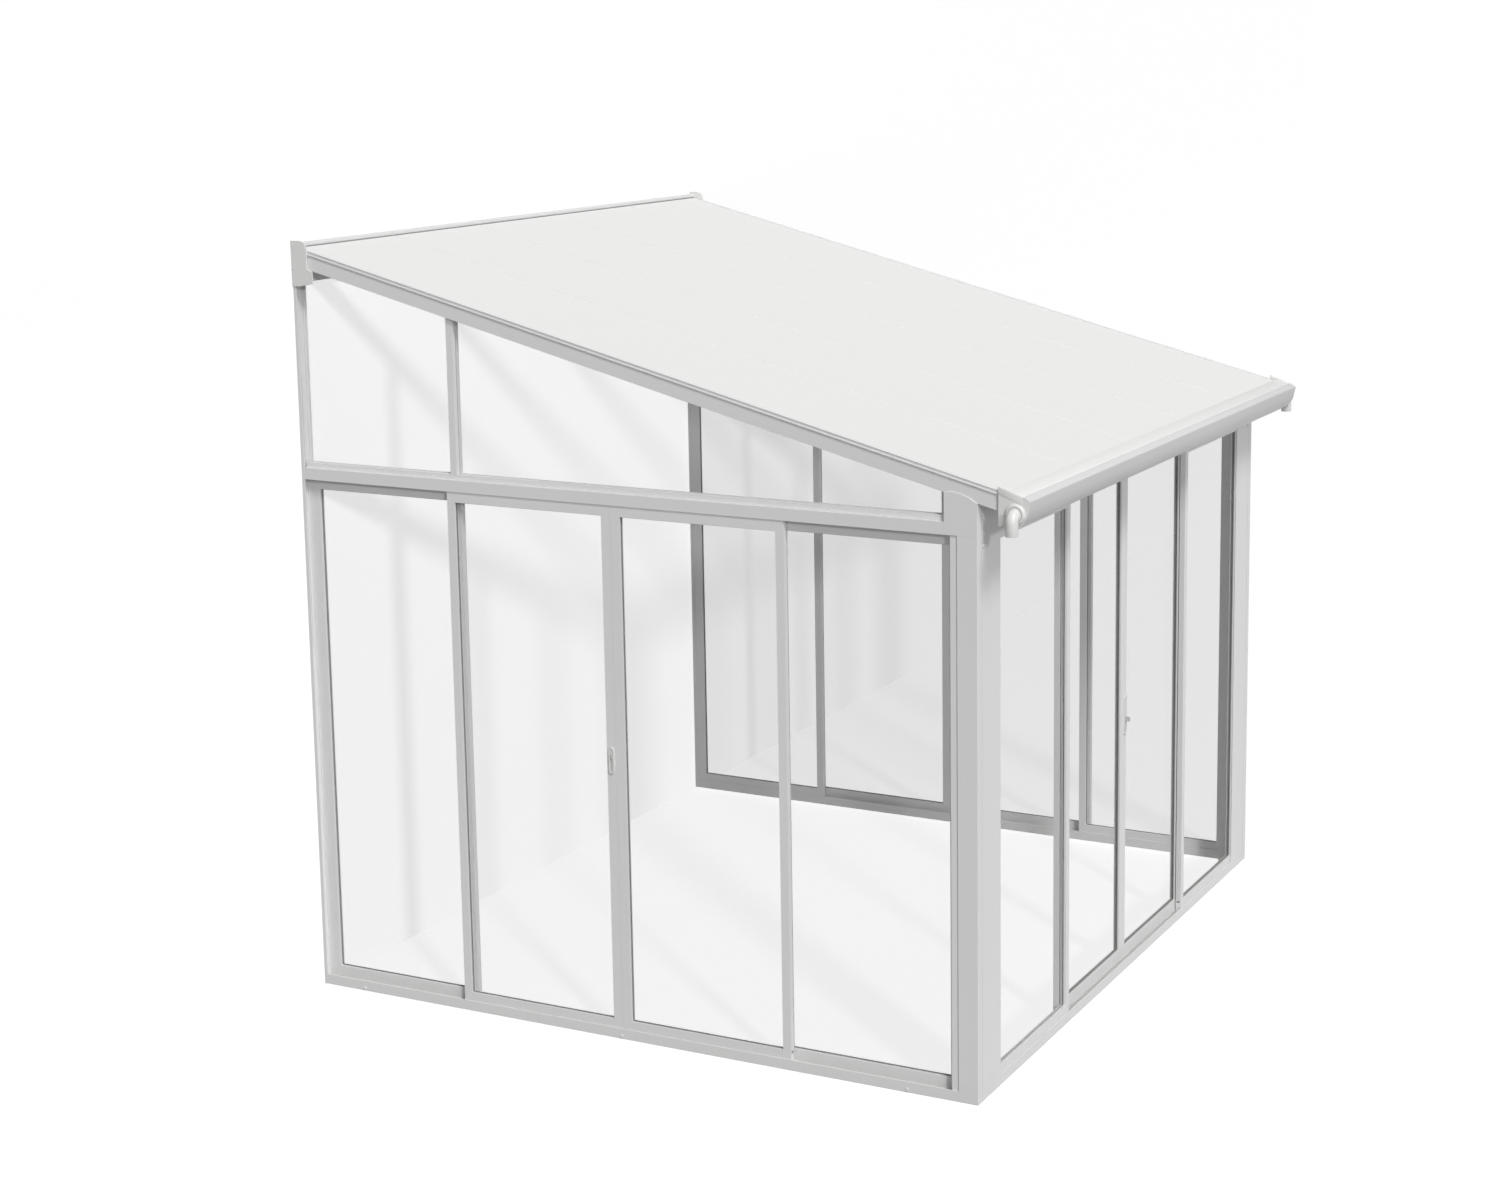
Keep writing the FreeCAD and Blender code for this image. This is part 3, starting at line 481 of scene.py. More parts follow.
def place(tree: Tree, kind: str, takes: Optional[Mapping[Union[int, str], Value]] = None,
          **settings: object) -> Node:
    """Place a node in a shader tree.

    Args:
        tree: The tree.
        kind: The node's type, without the word that all shader nodes start with.
        takes: What each input takes: a value, or the output of another node.
        settings: The node's own settings by name.

    Returns:
        The node.
    """
    node = tree.nodes.new("ShaderNode" + kind)
    for key, value in settings.items():
        setattr(node, key, value)
    feed(tree, node, takes or {})
    return node


def reckon(tree: Tree, operation: str, *terms: Value, clamp: bool = False) -> Socket:
    """Place a sum in a shader tree.

    Args:
        tree: The tree.
        operation: What the sum does.
        terms: Its terms in order, values or outputs of other nodes.
        clamp: Whether the result is kept between nought and one.

    Returns:
        The sum's output.
    """
    return place(tree, "Math", dict(enumerate(terms)), operation=operation, use_clamp=clamp).outputs[0]


def blend(tree: Tree, share: Socket, first: Socket, second: Socket) -> Socket:
    """Place a blend of two colours in a shader tree.

    Args:
        tree: The tree.
        share: Share of the second colour.
        first: The first colour.
        second: The second colour.

    Returns:
        The blended colour.
    """
    takes = {"Factor": share, "A": first, "B": second}
    return place(tree, "Mix", takes, data_type="RGBA").outputs["Result"]


class Groups:
    """Shader node groups that several finishes share."""

    @staticmethod
    def start(name: str, inputs: Mapping[str, Value], outputs: Mapping[str, Kind]) -> Tuple[Tree, Node, Node]:
        """Make an empty group.

        Args:
            name: The group's name.
            inputs: Default of each input by its name: a number, or a colour.
            outputs: Kind of each output by its name.

        Returns:
            The tree and its input and output nodes.
        """
        tree = bpy.data.node_groups.new(name, "ShaderNodeTree")
        for label, default in inputs.items():
            kind = Kind.NUMBER if isinstance(default, float) else Kind.COLOUR
            socket = tree.interface.new_socket(label, in_out="INPUT", socket_type=kind.value)
            socket.default_value = default
        for label, kind in outputs.items():
            tree.interface.new_socket(label, in_out="OUTPUT", socket_type=kind.value)
        return tree, tree.nodes.new("NodeGroupInput"), tree.nodes.new("NodeGroupOutput")

    @classmethod
    @lru_cache(maxsize=None)
    def grain(cls) -> Tree:
        """Fine surface grain with a broad drift of gloss: puts out a height and a roughness.

        Returns:
            The group, built the first time it is asked for.
        """
        tree, start, end = cls.start("surface_grain", {"Scale": 900.0, "Gloss": 0.4, "Spread": 0.1},
                                     {"Height": Kind.NUMBER, "Roughness": Kind.NUMBER})
        spot = place(tree, "TexCoord").outputs["Object"]
        fine = place(tree, "TexNoise", {"Vector": spot, "Scale": start.outputs["Scale"], "Detail": 3.0})
        broad = place(tree, "TexNoise", {"Vector": spot, "Scale": 2.5, "Detail": 5.0})
        drift = reckon(tree, "SUBTRACT", broad.outputs["Fac"], 0.5)
        swing = reckon(tree, "MULTIPLY_ADD", drift, start.outputs["Spread"], start.outputs["Gloss"])
        feed(tree, end, {"Height": fine.outputs["Fac"], "Roughness": swing})
        return tree

    @classmethod
    @lru_cache(maxsize=None)
    def dust(cls) -> Tree:
        """Ground dust that fades upwards, with a faint cloudy drift of the clean colour.

        Returns:
            The group, built the first time it is asked for.
        """
        tree, start, end = cls.start(
            "ground_dust", {"Clean": (0.8, 0.8, 0.8, 1), "Shade": (0.78, 0.78, 0.78, 1),
                            "Dust": (0.6, 0.58, 0.53, 1), "Reach": 0.12, "Amount": 0.25},
            {"Colour": Kind.COLOUR})
        spot = place(tree, "TexCoord").outputs["Object"]
        height = place(tree, "SeparateXYZ", {0: spot}).outputs["Z"]
        cloud = place(tree, "TexNoise", {"Vector": spot, "Scale": 1.7, "Detail": 6.0})
        specks = place(tree, "TexNoise", {"Vector": spot, "Scale": 55.0, "Detail": 4.0})
        level = reckon(tree, "DIVIDE", height, start.outputs["Reach"])
        fade = reckon(tree, "SUBTRACT", 1.0, level, clamp=True)
        broken = reckon(tree, "MULTIPLY", fade, specks.outputs["Fac"])
        share = reckon(tree, "MULTIPLY", broken, start.outputs["Amount"], clamp=True)
        tint = blend(tree, cloud.outputs["Fac"], start.outputs["Clean"], start.outputs["Shade"])
        feed(tree, end, {"Colour": blend(tree, share, tint, start.outputs["Dust"])})
        return tree

    @classmethod
    @lru_cache(maxsize=None)
    def flutes(cls) -> Tree:
        """Inner walls of a multiwall sheet, seen as faint lines that run down the slope.

        Returns:
            The group, built the first time it is asked for.
        """
        tree, start, end = cls.start(
            "sheet_flutes", {"Pitch": 0.016, "Clean": (0.86, 0.86, 0.86, 1), "Line": (0.82, 0.82, 0.82, 1)},
            {"Colour": Kind.COLOUR})
        spot = place(tree, "TexCoord").outputs["Object"]
        across = place(tree, "SeparateXYZ", {0: spot}).outputs["X"]
        steps = reckon(tree, "DIVIDE", across, start.outputs["Pitch"])
        saw = reckon(tree, "PINGPONG", steps, 0.5)
        edges = {"Value": saw, "From Min": 0.06, "From Max": 0.16, "To Min": 1.0, "To Max": 0.0}
        wall = place(tree, "MapRange", edges, interpolation_type="SMOOTHSTEP").outputs["Result"]
        feed(tree, end, {"Colour": blend(tree, wall, start.outputs["Clean"], start.outputs["Line"])})
        return tree


def rgba(colour: Colour) -> Tuple[float, float, float, float]:
    """A colour with full opacity."""
    return (*colour, 1.0)


@dataclass(frozen=True)
class Finish:
    """A finish: clean colour with a faint cloud, dust near the ground, and grain on its surface."""

    name: str
    clean: Colour
    shade: Colour
    slot: Optional[str] = None
    gloss: float = 0.42
    spread: float = 0.12
    grain: float = 900.0
    relief: float = 0.00004
    dust: float = 0.2
    metallic: float = 0.0
    opacity: float = 1.0

    def material(self) -> bpy.types.Material:
        """The finish as a material, built the first time it is asked for.

        Returns:
            The material.
        """
        found = bpy.data.materials.get(self.name)
        if found is not None:
            return found
        material = bpy.data.materials.new(self.name)
        material.use_nodes = True
        tree = material.node_tree
        shader = tree.nodes["Principled BSDF"]
        feed(tree, shader, {"Metallic": self.metallic, "Alpha": self.opacity})
        self.surface(tree, shader)
        return material

    def surface(self, tree: Tree, shader: Node) -> None:
        """Feed the shader its colour, roughness and grain.

        Args:
            tree: The material's tree.
            shader: Its shader.
        """
        takes = {"Clean": rgba(self.clean), "Shade": rgba(self.shade), "Amount": self.dust}
        colour = place(tree, "Group", takes, node_tree=Groups.dust())
        feed(tree, shader, {"Base Color": colour.outputs["Colour"]})
        self.grain_on(tree, shader)

    def grain_on(self, tree: Tree, shader: Node) -> None:
        """Feed the shader the grain's roughness and relief.

        Args:
            tree: The material's tree.
            shader: Its shader.
        """
        takes = {"Scale": self.grain, "Gloss": self.gloss, "Spread": self.spread}
        grain = place(tree, "Group", takes, node_tree=Groups.grain())
        bump = place(tree, "Bump", {"Distance": self.relief, "Height": grain.outputs["Height"]})
        feed(tree, shader, {"Roughness": grain.outputs["Roughness"], "Normal": bump.outputs["Normal"]})

    def dress(self, piece: Piece) -> None:
        """Give a piece this finish and no other."""
        piece.data.materials.clear()
        piece.data.materials.append(self.material())


@dataclass(frozen=True)
class OpalSheet(Finish):
    """Opal multiwall roof sheet, whose inner walls show as faint lines."""

    pitch: float = 0.016
    line: Colour = (0.8, 0.8, 0.8)

    def surface(self, tree: Tree, shader: Node) -> None:
        """Feed the shader the flutes' colour and the grain.

        Args:
            tree: The material's tree.
            shader: Its shader.
        """
        takes = {"Pitch": self.pitch, "Clean": rgba(self.clean), "Line": rgba(self.line)}
        flutes = place(tree, "Group", takes, node_tree=Groups.flutes())
        feed(tree, shader, {"Base Color": flutes.outputs["Colour"]})
        self.grain_on(tree, shader)


POWDER_COAT = Finish("white_powder_coat", (0.80, 0.80, 0.80), (0.775, 0.775, 0.775), "white_frame")
OPAL = OpalSheet("opal_sheet", (0.84, 0.84, 0.84), (0.82, 0.82, 0.82), "opal_sheet", gloss=0.5,
                 relief=0.00002)
GLASS = Finish("clear_glass", (0.030, 0.034, 0.032), (0.024, 0.028, 0.026), "clear_pane", gloss=0.06,
               spread=0.05, relief=0.000004, dust=0.0, opacity=0.0695)
PLASTIC = Finish("white_plastic", (0.80, 0.80, 0.80), (0.78, 0.78, 0.78), "white_plastic", gloss=0.3,
                 grain=420.0, relief=0.00003)
# Painted shade: a darker copy of the same white plastic, on the gutter channel and its cover strip, standing
# in for the shade on the gutter's downward-facing front.
SHADED_EAVE_PLASTIC = Finish("eave_plastic", (0.70, 0.70, 0.70), (0.68, 0.68, 0.68), "white_plastic", gloss=0.4,
                      grain=420.0, relief=0.00003)
NYLON = Finish("roller_nylon", (0.80, 0.79, 0.75), (0.74, 0.73, 0.69), "white_nylon", gloss=0.45)
LOCK_PAINT = Finish("lock_paint", (0.74, 0.74, 0.73), (0.70, 0.70, 0.69), "lock_white", gloss=0.35)
LOCK_GREY = Finish("lock_grey", (0.42, 0.42, 0.42), (0.36, 0.36, 0.36), "lock_grey", gloss=0.35)
SCREW_PAINT = Finish("screw_paint", (0.76, 0.76, 0.76), (0.70, 0.70, 0.70), "screw_steel", gloss=0.3)
SEAL = Finish("seal_rubber", (0.30, 0.30, 0.29), (0.24, 0.24, 0.235), gloss=0.65, grain=600.0)
# Painted light: a lighter copy of the seal rubber, used only round the front-left fixed pane so that its seal
# reads pale as if lit, though the real seals are all the same dark rubber.
PAINTED_LIGHT_SEAL = Finish("pale_seal_rubber", (0.62, 0.62, 0.61), (0.58, 0.58, 0.57), gloss=0.6, grain=600.0)
FINISHES = (POWDER_COAT, OPAL, GLASS, PLASTIC, NYLON, LOCK_PAINT, LOCK_GREY, SCREW_PAINT)


def keep(piece: Piece, body: str, finish: Finish) -> Piece:
    """Dress a finished piece, put it on its body and report it.

    Args:
        piece: The finished piece.
        body: Name of the CAD body that it moves with.
        finish: Its finish.

    Returns:
        The piece.
    """
    finish.dress(piece)
    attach(piece, body)
    LOG.info("piece %s on %s, %d faces", piece.name, body, len(piece.data.polygons))
    return piece


def solids(node: str) -> List[Box]:
    """Boxes of the separate solids of a CAD node, in order of x and then y.

    Args:
        node: The node's name.

    Returns:
        The lowest and highest corner of each solid.
    """
    mesh = frame["nodes"][node].data
    grid = 0.01 * MM
    owner: Dict[Spot, Spot] = {}

    def spot_of(index: int) -> Spot:
        """The place of a vertex, in steps of the grid."""
        return tuple(round(c / grid) for c in mesh.vertices[index].co)

    def root(spot: Spot) -> Spot:
        """The place that stands for the whole solid that a place belongs to."""
        while owner[spot] != spot:
            owner[spot] = owner[owner[spot]]
            spot = owner[spot]
        return spot

    for polygon in mesh.polygons:
        spots = [spot_of(i) for i in polygon.vertices]
        for spot in spots:
            owner.setdefault(spot, spot)
        for spot in spots[1:]:
            owner[root(spot)] = root(spots[0])
    boxes: Dict[Spot, Box] = {}
    for index, vertex in enumerate(mesh.vertices):
        spot = root(spot_of(index))
        low, high = boxes.get(spot, (vertex.co, vertex.co))
        boxes[spot] = (Vector(map(min, low, vertex.co)), Vector(map(max, high, vertex.co)))
    return sorted(boxes.values(), key=lambda box: (round(box[0].x, 3), round(box[0].y, 3)))


def front_frames() -> List[Box]:
    """Boxes of the fixed panels' frames that stand in the front, left one first."""
    return [(low, high) for low, high in solids("fixed_frames") if high.x - low.x > high.y - low.y]


def skin(low: Vector, high: Vector, axis: Axis, sign: int, depth: float) -> Box:
    """The thin box that lies on one face of another box.

    Args:
        low: Lowest corner of the other box.
        high: Its highest corner.
        axis: Axis of the face's normal.
        sign: Sign of the face's normal.
        depth: Depth of the thin box.

    Returns:
        Its lowest and highest corner.
    """
    a, b = low.copy(), high.copy()
    at = axis.value
    a[at] = high[at] if sign > 0 else low[at] - depth
    b[at] = high[at] + depth if sign > 0 else low[at]
    return a, b


@dataclass
class Nodes:
    """The CAD nodes that stay on show, dressed by the record's material slots."""

    edge: float = 0.9 * MM
    weld: float = 0.02 * MM
    edge_angle: float = math.radians(50)

    def dress(self) -> None:
        """Give each node its finish, and soft edges where it is a metal or plastic profile."""
        finishes = {finish.slot: finish for finish in FINISHES}
        for row in frame["record"]["subparts"]:
            node = frame["nodes"][row["node"]]
            finish = finishes[row["material_slot"]]
            finish.dress(node)
            LOG.info("node %s dressed as %s", row["node"], finish.name)
            if finish in (POWDER_COAT, PLASTIC):
                self.round_edges(node)

    def round_edges(self, node: Piece) -> None:
        """Soft edges as live modifiers, so that the node's own mesh stays as it is.

        Args:
            node: The node's object.
        """
        weld = node.modifiers.new("weld", "WELD")
        weld.merge_threshold = self.weld
        bevel = node.modifiers.new("edges", "BEVEL")
        bevel.width = self.edge
        bevel.segments = 2
        bevel.limit_method = "ANGLE"
        bevel.angle_limit = self.edge_angle
        bevel.harden_normals = True


def body_with(node: str) -> str:
    """Name of the CAD body that a node belongs to.

    Args:
        node: The node's name.

    Returns:
        The body's name.
    """
    for body, nodes in frame["record"]["behaviour"]["bodies"].items():
        if node in nodes:
            return body
    raise KeyError(node)


@dataclass
class GlazingSeals:
    """Rubber seals that close the gap between each pane and its frame, on both sides."""

    width: float = 2.5 * MM
    gable_depth: float = 2.0 * MM
    front_depth: float = 4.0 * MM
    bite: float = 8.0 * MM
    rafter_strip: float = 4.0 * MM
    edge: float = 0.6 * MM
    wall_edge: float = 0.8 * MM
    doors: Tuple[str, ...] = ("door_left_rear", "door_left_fore", "door_right_rear", "door_right_fore",
                              "door_front_left", "door_front_right")

    def build(self) -> None:
        """Build the seals of every door, fixed panel and upper gable pane, and of the roof's top edge, where
        the dark strip also paints the contact shadow.
        """
        for door in self.doors:
            low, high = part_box(door + "_glass")
            keep(self.pair("seal_" + door, low, high), door, SEAL)
        for index, (low, high) in enumerate(solids("fixed_panes")):
            front_left = low.x < 0 and high.x - low.x > high.y - low.y
            # painted light: the front-left fixed pane's seal takes the lighter copy of the rubber
            finish = PAINTED_LIGHT_SEAL if front_left else SEAL
            keep(self.pair("seal_fixed_%d" % index, low, high), "frame", finish)
        for index, (low, high) in enumerate(solids("gable_panes")):
            keep(self.under_rafter("seal_upper_%d" % index, low, high), "frame", SEAL)
        # painted shade: the dark strip at the roof's top edge is a seal that also stands in for the contact
        # shadow under the wall beam
        keep(self.at_wall("seal_roof_top"), "frame", SEAL)

    def under_rafter(self, name: str, low: Vector, high: Vector) -> Piece:
        """The two strips between an upper gable pane and the rafter above it, joined.

        Args:
            name: The piece's name.
            low: Lowest corner of the pane.
            high: Highest corner of the pane.

        Returns:
            The strips as one piece.
        """
        rear = min(high.y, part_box("side_rafter_left")[1].y)
        strips = []
        for start in (low.x - self.gable_depth, high.x):
            strips.append(Bench.slope(name, (start, low.y, high.z - self.rafter_strip),
                                      (start + self.gable_depth, rear, high.z), self.edge))
        return Bench.join(name, strips)

    def at_wall(self, name: str) -> Piece:
        """The dark seal strip along the roof sheets' top edge, where they meet the wall beam; its dark rubber
        also paints the contact shadow there.

        Args:
            name: The piece's name.

        Returns:
            The strip.
        """
        low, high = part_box("roof_sheets")
        piece = Bench.block(name, (low.x, high.y - self.rafter_strip, high.z - self.rafter_strip),
                            (high.x, high.y, high.z + self.rafter_strip))
        Bench.soften(piece, self.wall_edge)
        return piece

    def pair(self, name: str, low: Vector, high: Vector) -> Piece:
        """The outer and inner seal of one rectangular pane, joined.

        Args:
            name: The piece's name.
            low: Lowest corner of the pane.
            high: Highest corner of the pane.

        Returns:
            The seals as one piece.
        """
        axis = Axis.X if high.x - low.x < high.y - low.y else Axis.Y
        depth = self.gable_depth if axis is Axis.X else self.front_depth
        inset = Vector((self.bite, self.bite, self.bite))
        inset[axis.value] = 0.0
        rings = []
        for side in Side:
            a, b = skin(low + inset, high - inset, axis, side.value, depth)
            piece = Bench.block(name + "_" + side.name.lower(), a, b)
            Bench.open_through(piece, axis, self.width)
            Bench.soften(piece, self.edge)
            rings.append(piece)
        return Bench.join(name, rings)


@dataclass
class RoofLines:
    """Rounded beads along the roof's side edges and flat strips over the seams of its sheets."""

    bead: float = 6.0 * MM
    proud: float = 1.5 * MM
    bead_step: float = 13.0 * MM
    bead_round: float = 2.6 * MM
    seam_width: float = 7.0 * MM
    seam_rise: float = 1.2 * MM
    seam_round: float = 0.8 * MM

    def build(self) -> None:
        """Build two beads on each side edge and one strip over each seam."""
        for low, high in solids("roof_edge_trims"):
            side = "left" if low.x < 0 else "right"
            start = low.x - self.proud if low.x < 0 else high.x + self.proud - self.bead
            for index in range(2):
                top = high.z + self.proud - index * self.bead_step
                piece = Bench.slope("roof_bead_%s_%d" % (side, index), (start, low.y, top - self.bead),
                                    (start + self.bead, high.y, top), self.bead_round)
                keep(piece, "frame", POWDER_COAT)
        half = self.seam_width / 2
        for index, (low, high) in enumerate(solids("roof_sheets")[:-1]):
            piece = Bench.slope("roof_seam_%d" % index, (high.x - half, low.y, high.z - self.seam_rise),
                                (high.x + half, high.y, high.z + self.seam_rise), self.seam_round)
            keep(piece, "frame", POWDER_COAT)


@dataclass(frozen=True)
class Gauge:
    """How a profile along the eave is finished."""

    up: float
    wall: float
    edge: float
    steps: int


@dataclass
class Gutter:
    """Eave gutter with a rounded front and a lip, its cover strip, cap rims and outlet elbows."""

    trough: Gauge = Gauge(-1.0, 2.5 * MM, 0.7 * MM, 7)
    trim: Gauge = Gauge(1.0, 1.5 * MM, 0.4 * MM, 5)
    floor_width: float = 81 * MM
    bend_out: float = 27 * MM
    bend_rise: float = 40 * MM
    lip_height: float = 94 * MM
    lip_in: float = 14 * MM
    lip_rise: float = 4.6 * MM
    trough_rounds: Tuple[float, ...] = (5 * MM, 16 * MM, 22 * MM, 4 * MM)
    cover_width: float = 37 * MM
    cover_rise: float = 14 * MM
    nose: Corner = (8 * MM, 6 * MM)
    drip: Corner = (0.6 * MM, 0.2 * MM)
    cover_rounds: Tuple[float, ...] = (6 * MM, 2 * MM)
    sheet_thick: float = 10 * MM
    sheet_lap: float = 10 * MM
    sheet_gap: float = 0.3 * MM
    sheet_over: Corner = (2 * MM, 1 * MM)
    sheet_drop: float = 4 * MM
    sheet_rounds: Tuple[float, ...] = (1.5 * MM,)
    rim_length: float = 92 * MM
    rim_rise: float = 17 * MM
    rim_height: float = 28 * MM
    rim_taper: float = 10 * MM
    rim_proud: float = 1 * MM
    rim_edge: float = 1.5 * MM
    collar_radius: float = 37 * MM
    collar_depth: float = 12 * MM
    collar_round: float = 8 * MM
    collar_steps: int = 6
    collar_facing: float = 0.99
    collar_rim: float = 2.5 * MM
    collar_sink: float = 4 * MM
    pipe_radius: float = 23 * MM
    pipe_wall: float = 3 * MM
    pipe_bite: float = 1 * MM
    pipe_weld: float = 0.05 * MM
    elbow_edge: float = 0.8 * MM
    bend_radius: float = 27 * MM
    bend_steps: int = 12
    round_sides: int = 40

    def build(self) -> None:
        """Build the channel and both elbows in place of their plain solids, and the strips and rims."""
        channel = self.channel()
        # painted shade: the channel and the cover strip take the darker copy of the white plastic
        keep(channel, "frame", SHADED_EAVE_PLASTIC)
        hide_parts("gutter")
        keep(self.cover(), "frame", SHADED_EAVE_PLASTIC)
        keep(self.sheet_end(), "frame", OPAL)
        rim = self.cap_rim("gutter_cap_rim_left")
        for piece in (rim, Bench.flip(rim, "gutter_cap_rim_right")):
            keep(piece, "frame", PLASTIC)
        near = self.elbow("gutter_elbow_left")
        for piece in (near, Bench.flip(near, "gutter_elbow_right")):
            keep(piece, "frame", PLASTIC)
        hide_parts("gutter_elbows")

    def channel(self) -> Piece:
        """The gutter channel, from its back over its floor and rounded front to its lip.

        Returns:
            The channel.
        """
        low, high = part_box("gutter")
        floor_end = high.y - self.floor_width
        lip_z = low.z + self.lip_height
        corners = [(high.y, high.z), (high.y, low.z), (floor_end, low.z),
                   (floor_end - self.bend_out, low.z + self.bend_rise), (low.y, lip_z),
                   (low.y + self.lip_in, lip_z + self.lip_rise)]
        return self.profile("gutter_channel", corners, self.trough_rounds, self.trough)

    def cover(self) -> Piece:
        """The strip that carries the roof from the sheets' low end over to the gutter's lip.

        Returns:
            The cover strip.
        """
        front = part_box("gutter")[0].y
        lip_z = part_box("gutter")[0].z + self.lip_height
        wall = self.trim.wall
        corners = [(front + self.cover_width, lip_z + self.cover_rise),
                   (front + self.nose[0], lip_z + self.nose[1]),
                   (front + self.drip[0], lip_z + 2 * wall), (front + self.drip[1], lip_z - wall)]
        return self.profile("gutter_cover", corners, self.cover_rounds, self.trim)

    def sheet_end(self) -> Piece:
        """The low end of the roof sheets, drawn on over the gutter as far as its cover strip.

        Returns:
            The sheet's end.
        """
        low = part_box("gutter")[0]
        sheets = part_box("roof_sheets")[0]
        top = sheets.z + self.sheet_thick + self.trim.wall + self.sheet_gap
        end = (low.y + self.cover_width - self.sheet_over[0],
               low.z + self.lip_height + self.cover_rise + self.sheet_over[1])
        start = (sheets.y + self.sheet_lap, top + ROOF_FALL * self.sheet_lap)
        corners = [start, end, (end[0], end[1] - self.sheet_drop)]
        return self.profile("roof_sheet_end", corners, self.sheet_rounds, self.trim)

    def profile(self, name: str, corners: Sequence[Corner], rounds: Sequence[float], gauge: Gauge) -> Piece:
        """A thin profile pulled along the eave, rounded and given its thickness.

        Args:
            name: The piece's name.
            corners: The profile's corners by y and z, from the house towards the garden.
            rounds: Radius at each corner from the second on.
            gauge: How it is finished.

        Returns:
            The profile.
        """
        low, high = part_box("gutter")
        piece = Bench.sheet(name, [(low.x, y, z) for y, z in corners], (high.x - low.x, 0, 0))
        Bench.face_out(piece, Vector((0, 0, gauge.up)))
        for corner, radius in zip(corners[1:], rounds):
            Bench.round_line(piece, corner, radius, gauge.steps)
        Bench.apply(piece, "SOLIDIFY", thickness=gauge.wall, offset=-1.0, use_even_offset=True)
        Bench.soften(piece, gauge.edge)
        return piece

    def cap_rim(self, name: str) -> Piece:
        """The raised rim of an end cap, which stands above the roof at its house end.

        Args:
            name: The piece's name.

        Returns:
            The rim of the left cap.
        """
        low, high = solids("gutter_caps")[0]
        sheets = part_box("roof_sheets")[0]
        top = sheets.z + self.sheet_thick + ROOF_FALL * (high.y - sheets.y) + self.rim_rise
        return Bench.slope(name, (low.x - self.rim_proud, high.y - self.rim_length, top - self.rim_height),
                           (high.x + self.rim_proud, high.y + self.rim_proud, top), self.rim_edge,
                           self.rim_taper - ROOF_FALL * self.rim_proud)

    def elbow(self, name: str) -> Piece:
        """An outlet elbow: domed collar with a sunk face, quarter bend and drop pipe.

        Args:
            name: The piece's name.

        Returns:
            The elbow at the left end of the gutter.
        """
        low, high = solids("gutter_elbows")[0]
        y = (low.y + high.y) / 2
        z = high.z - self.collar_radius
        collar = self.collar(name + "_collar", Vector((high.x, y, z)))
        start = high.x - self.collar_depth + self.collar_sink - self.pipe_bite
        pipe = self.pipe(Vector((start, y, z)), low)
        return Bench.join(name, [collar, pipe])

    def collar(self, name: str, back: Vector) -> Piece:
        """The elbow's collar on the end cap.

        Args:
            name: The piece's name.
            back: Middle of the collar's back.

        Returns:
            The collar.
        """
        face = back.x - self.collar_depth
        collar = Bench.disc(name, (back.x - self.collar_depth / 2, back.y, back.z), Axis.X,
                            self.collar_radius, self.collar_depth, self.round_sides)
        with Bench.editing(collar, Element.EDGE) as mesh:
            Bench.pick(collar, mesh.edges, lambda e: all(v.co.x < face + NEAR for v in e.verts))
            bpy.ops.mesh.bevel(offset=self.collar_round, segments=self.collar_steps, affect="EDGES")
        with Bench.editing(collar) as mesh:
            Bench.pick(collar, mesh.faces, lambda f: f.normal.x < -self.collar_facing)
            bpy.ops.mesh.inset(thickness=self.collar_rim)
            Bench.pull((self.collar_sink, 0, 0))
        Bench.soften(collar, self.elbow_edge, 3)
        return collar

    def pipe(self, start: Vector, low: Vector) -> Piece:
        """The elbow's pipe, out of the collar, round a quarter bend and down.

        Args:
            start: Middle of the pipe's start in the collar.
            low: Lowest corner of the elbow.

        Returns:
            The pipe.
        """
        bend = Vector((low.x + self.pipe_radius + self.bend_radius, start.y, start.z - self.bend_radius))
        Bench.clear()
        bpy.ops.mesh.primitive_circle_add(vertices=self.round_sides, radius=self.pipe_radius,
                                          location=start, rotation=(0, math.pi / 2, 0))
        pipe = bpy.context.object
        Bench.settle(pipe)
        with Bench.editing(pipe, Element.EDGE):
            bpy.ops.mesh.select_all(action="SELECT")
            Bench.pull((bend.x - start.x, 0, 0))
            bpy.ops.mesh.spin(steps=self.bend_steps, angle=math.pi / 2, center=bend, axis=(0, 1, 0))
            Bench.pull((0, 0, low.z - bend.z))
            bpy.ops.mesh.select_all(action="SELECT")
            bpy.ops.mesh.remove_doubles(threshold=self.pipe_weld)
            bpy.ops.mesh.normals_make_consistent(inside=False)
        Bench.apply(pipe, "SOLIDIFY", thickness=self.pipe_wall, offset=-1.0)
        Bench.soften(pipe, self.elbow_edge)
        return pipe


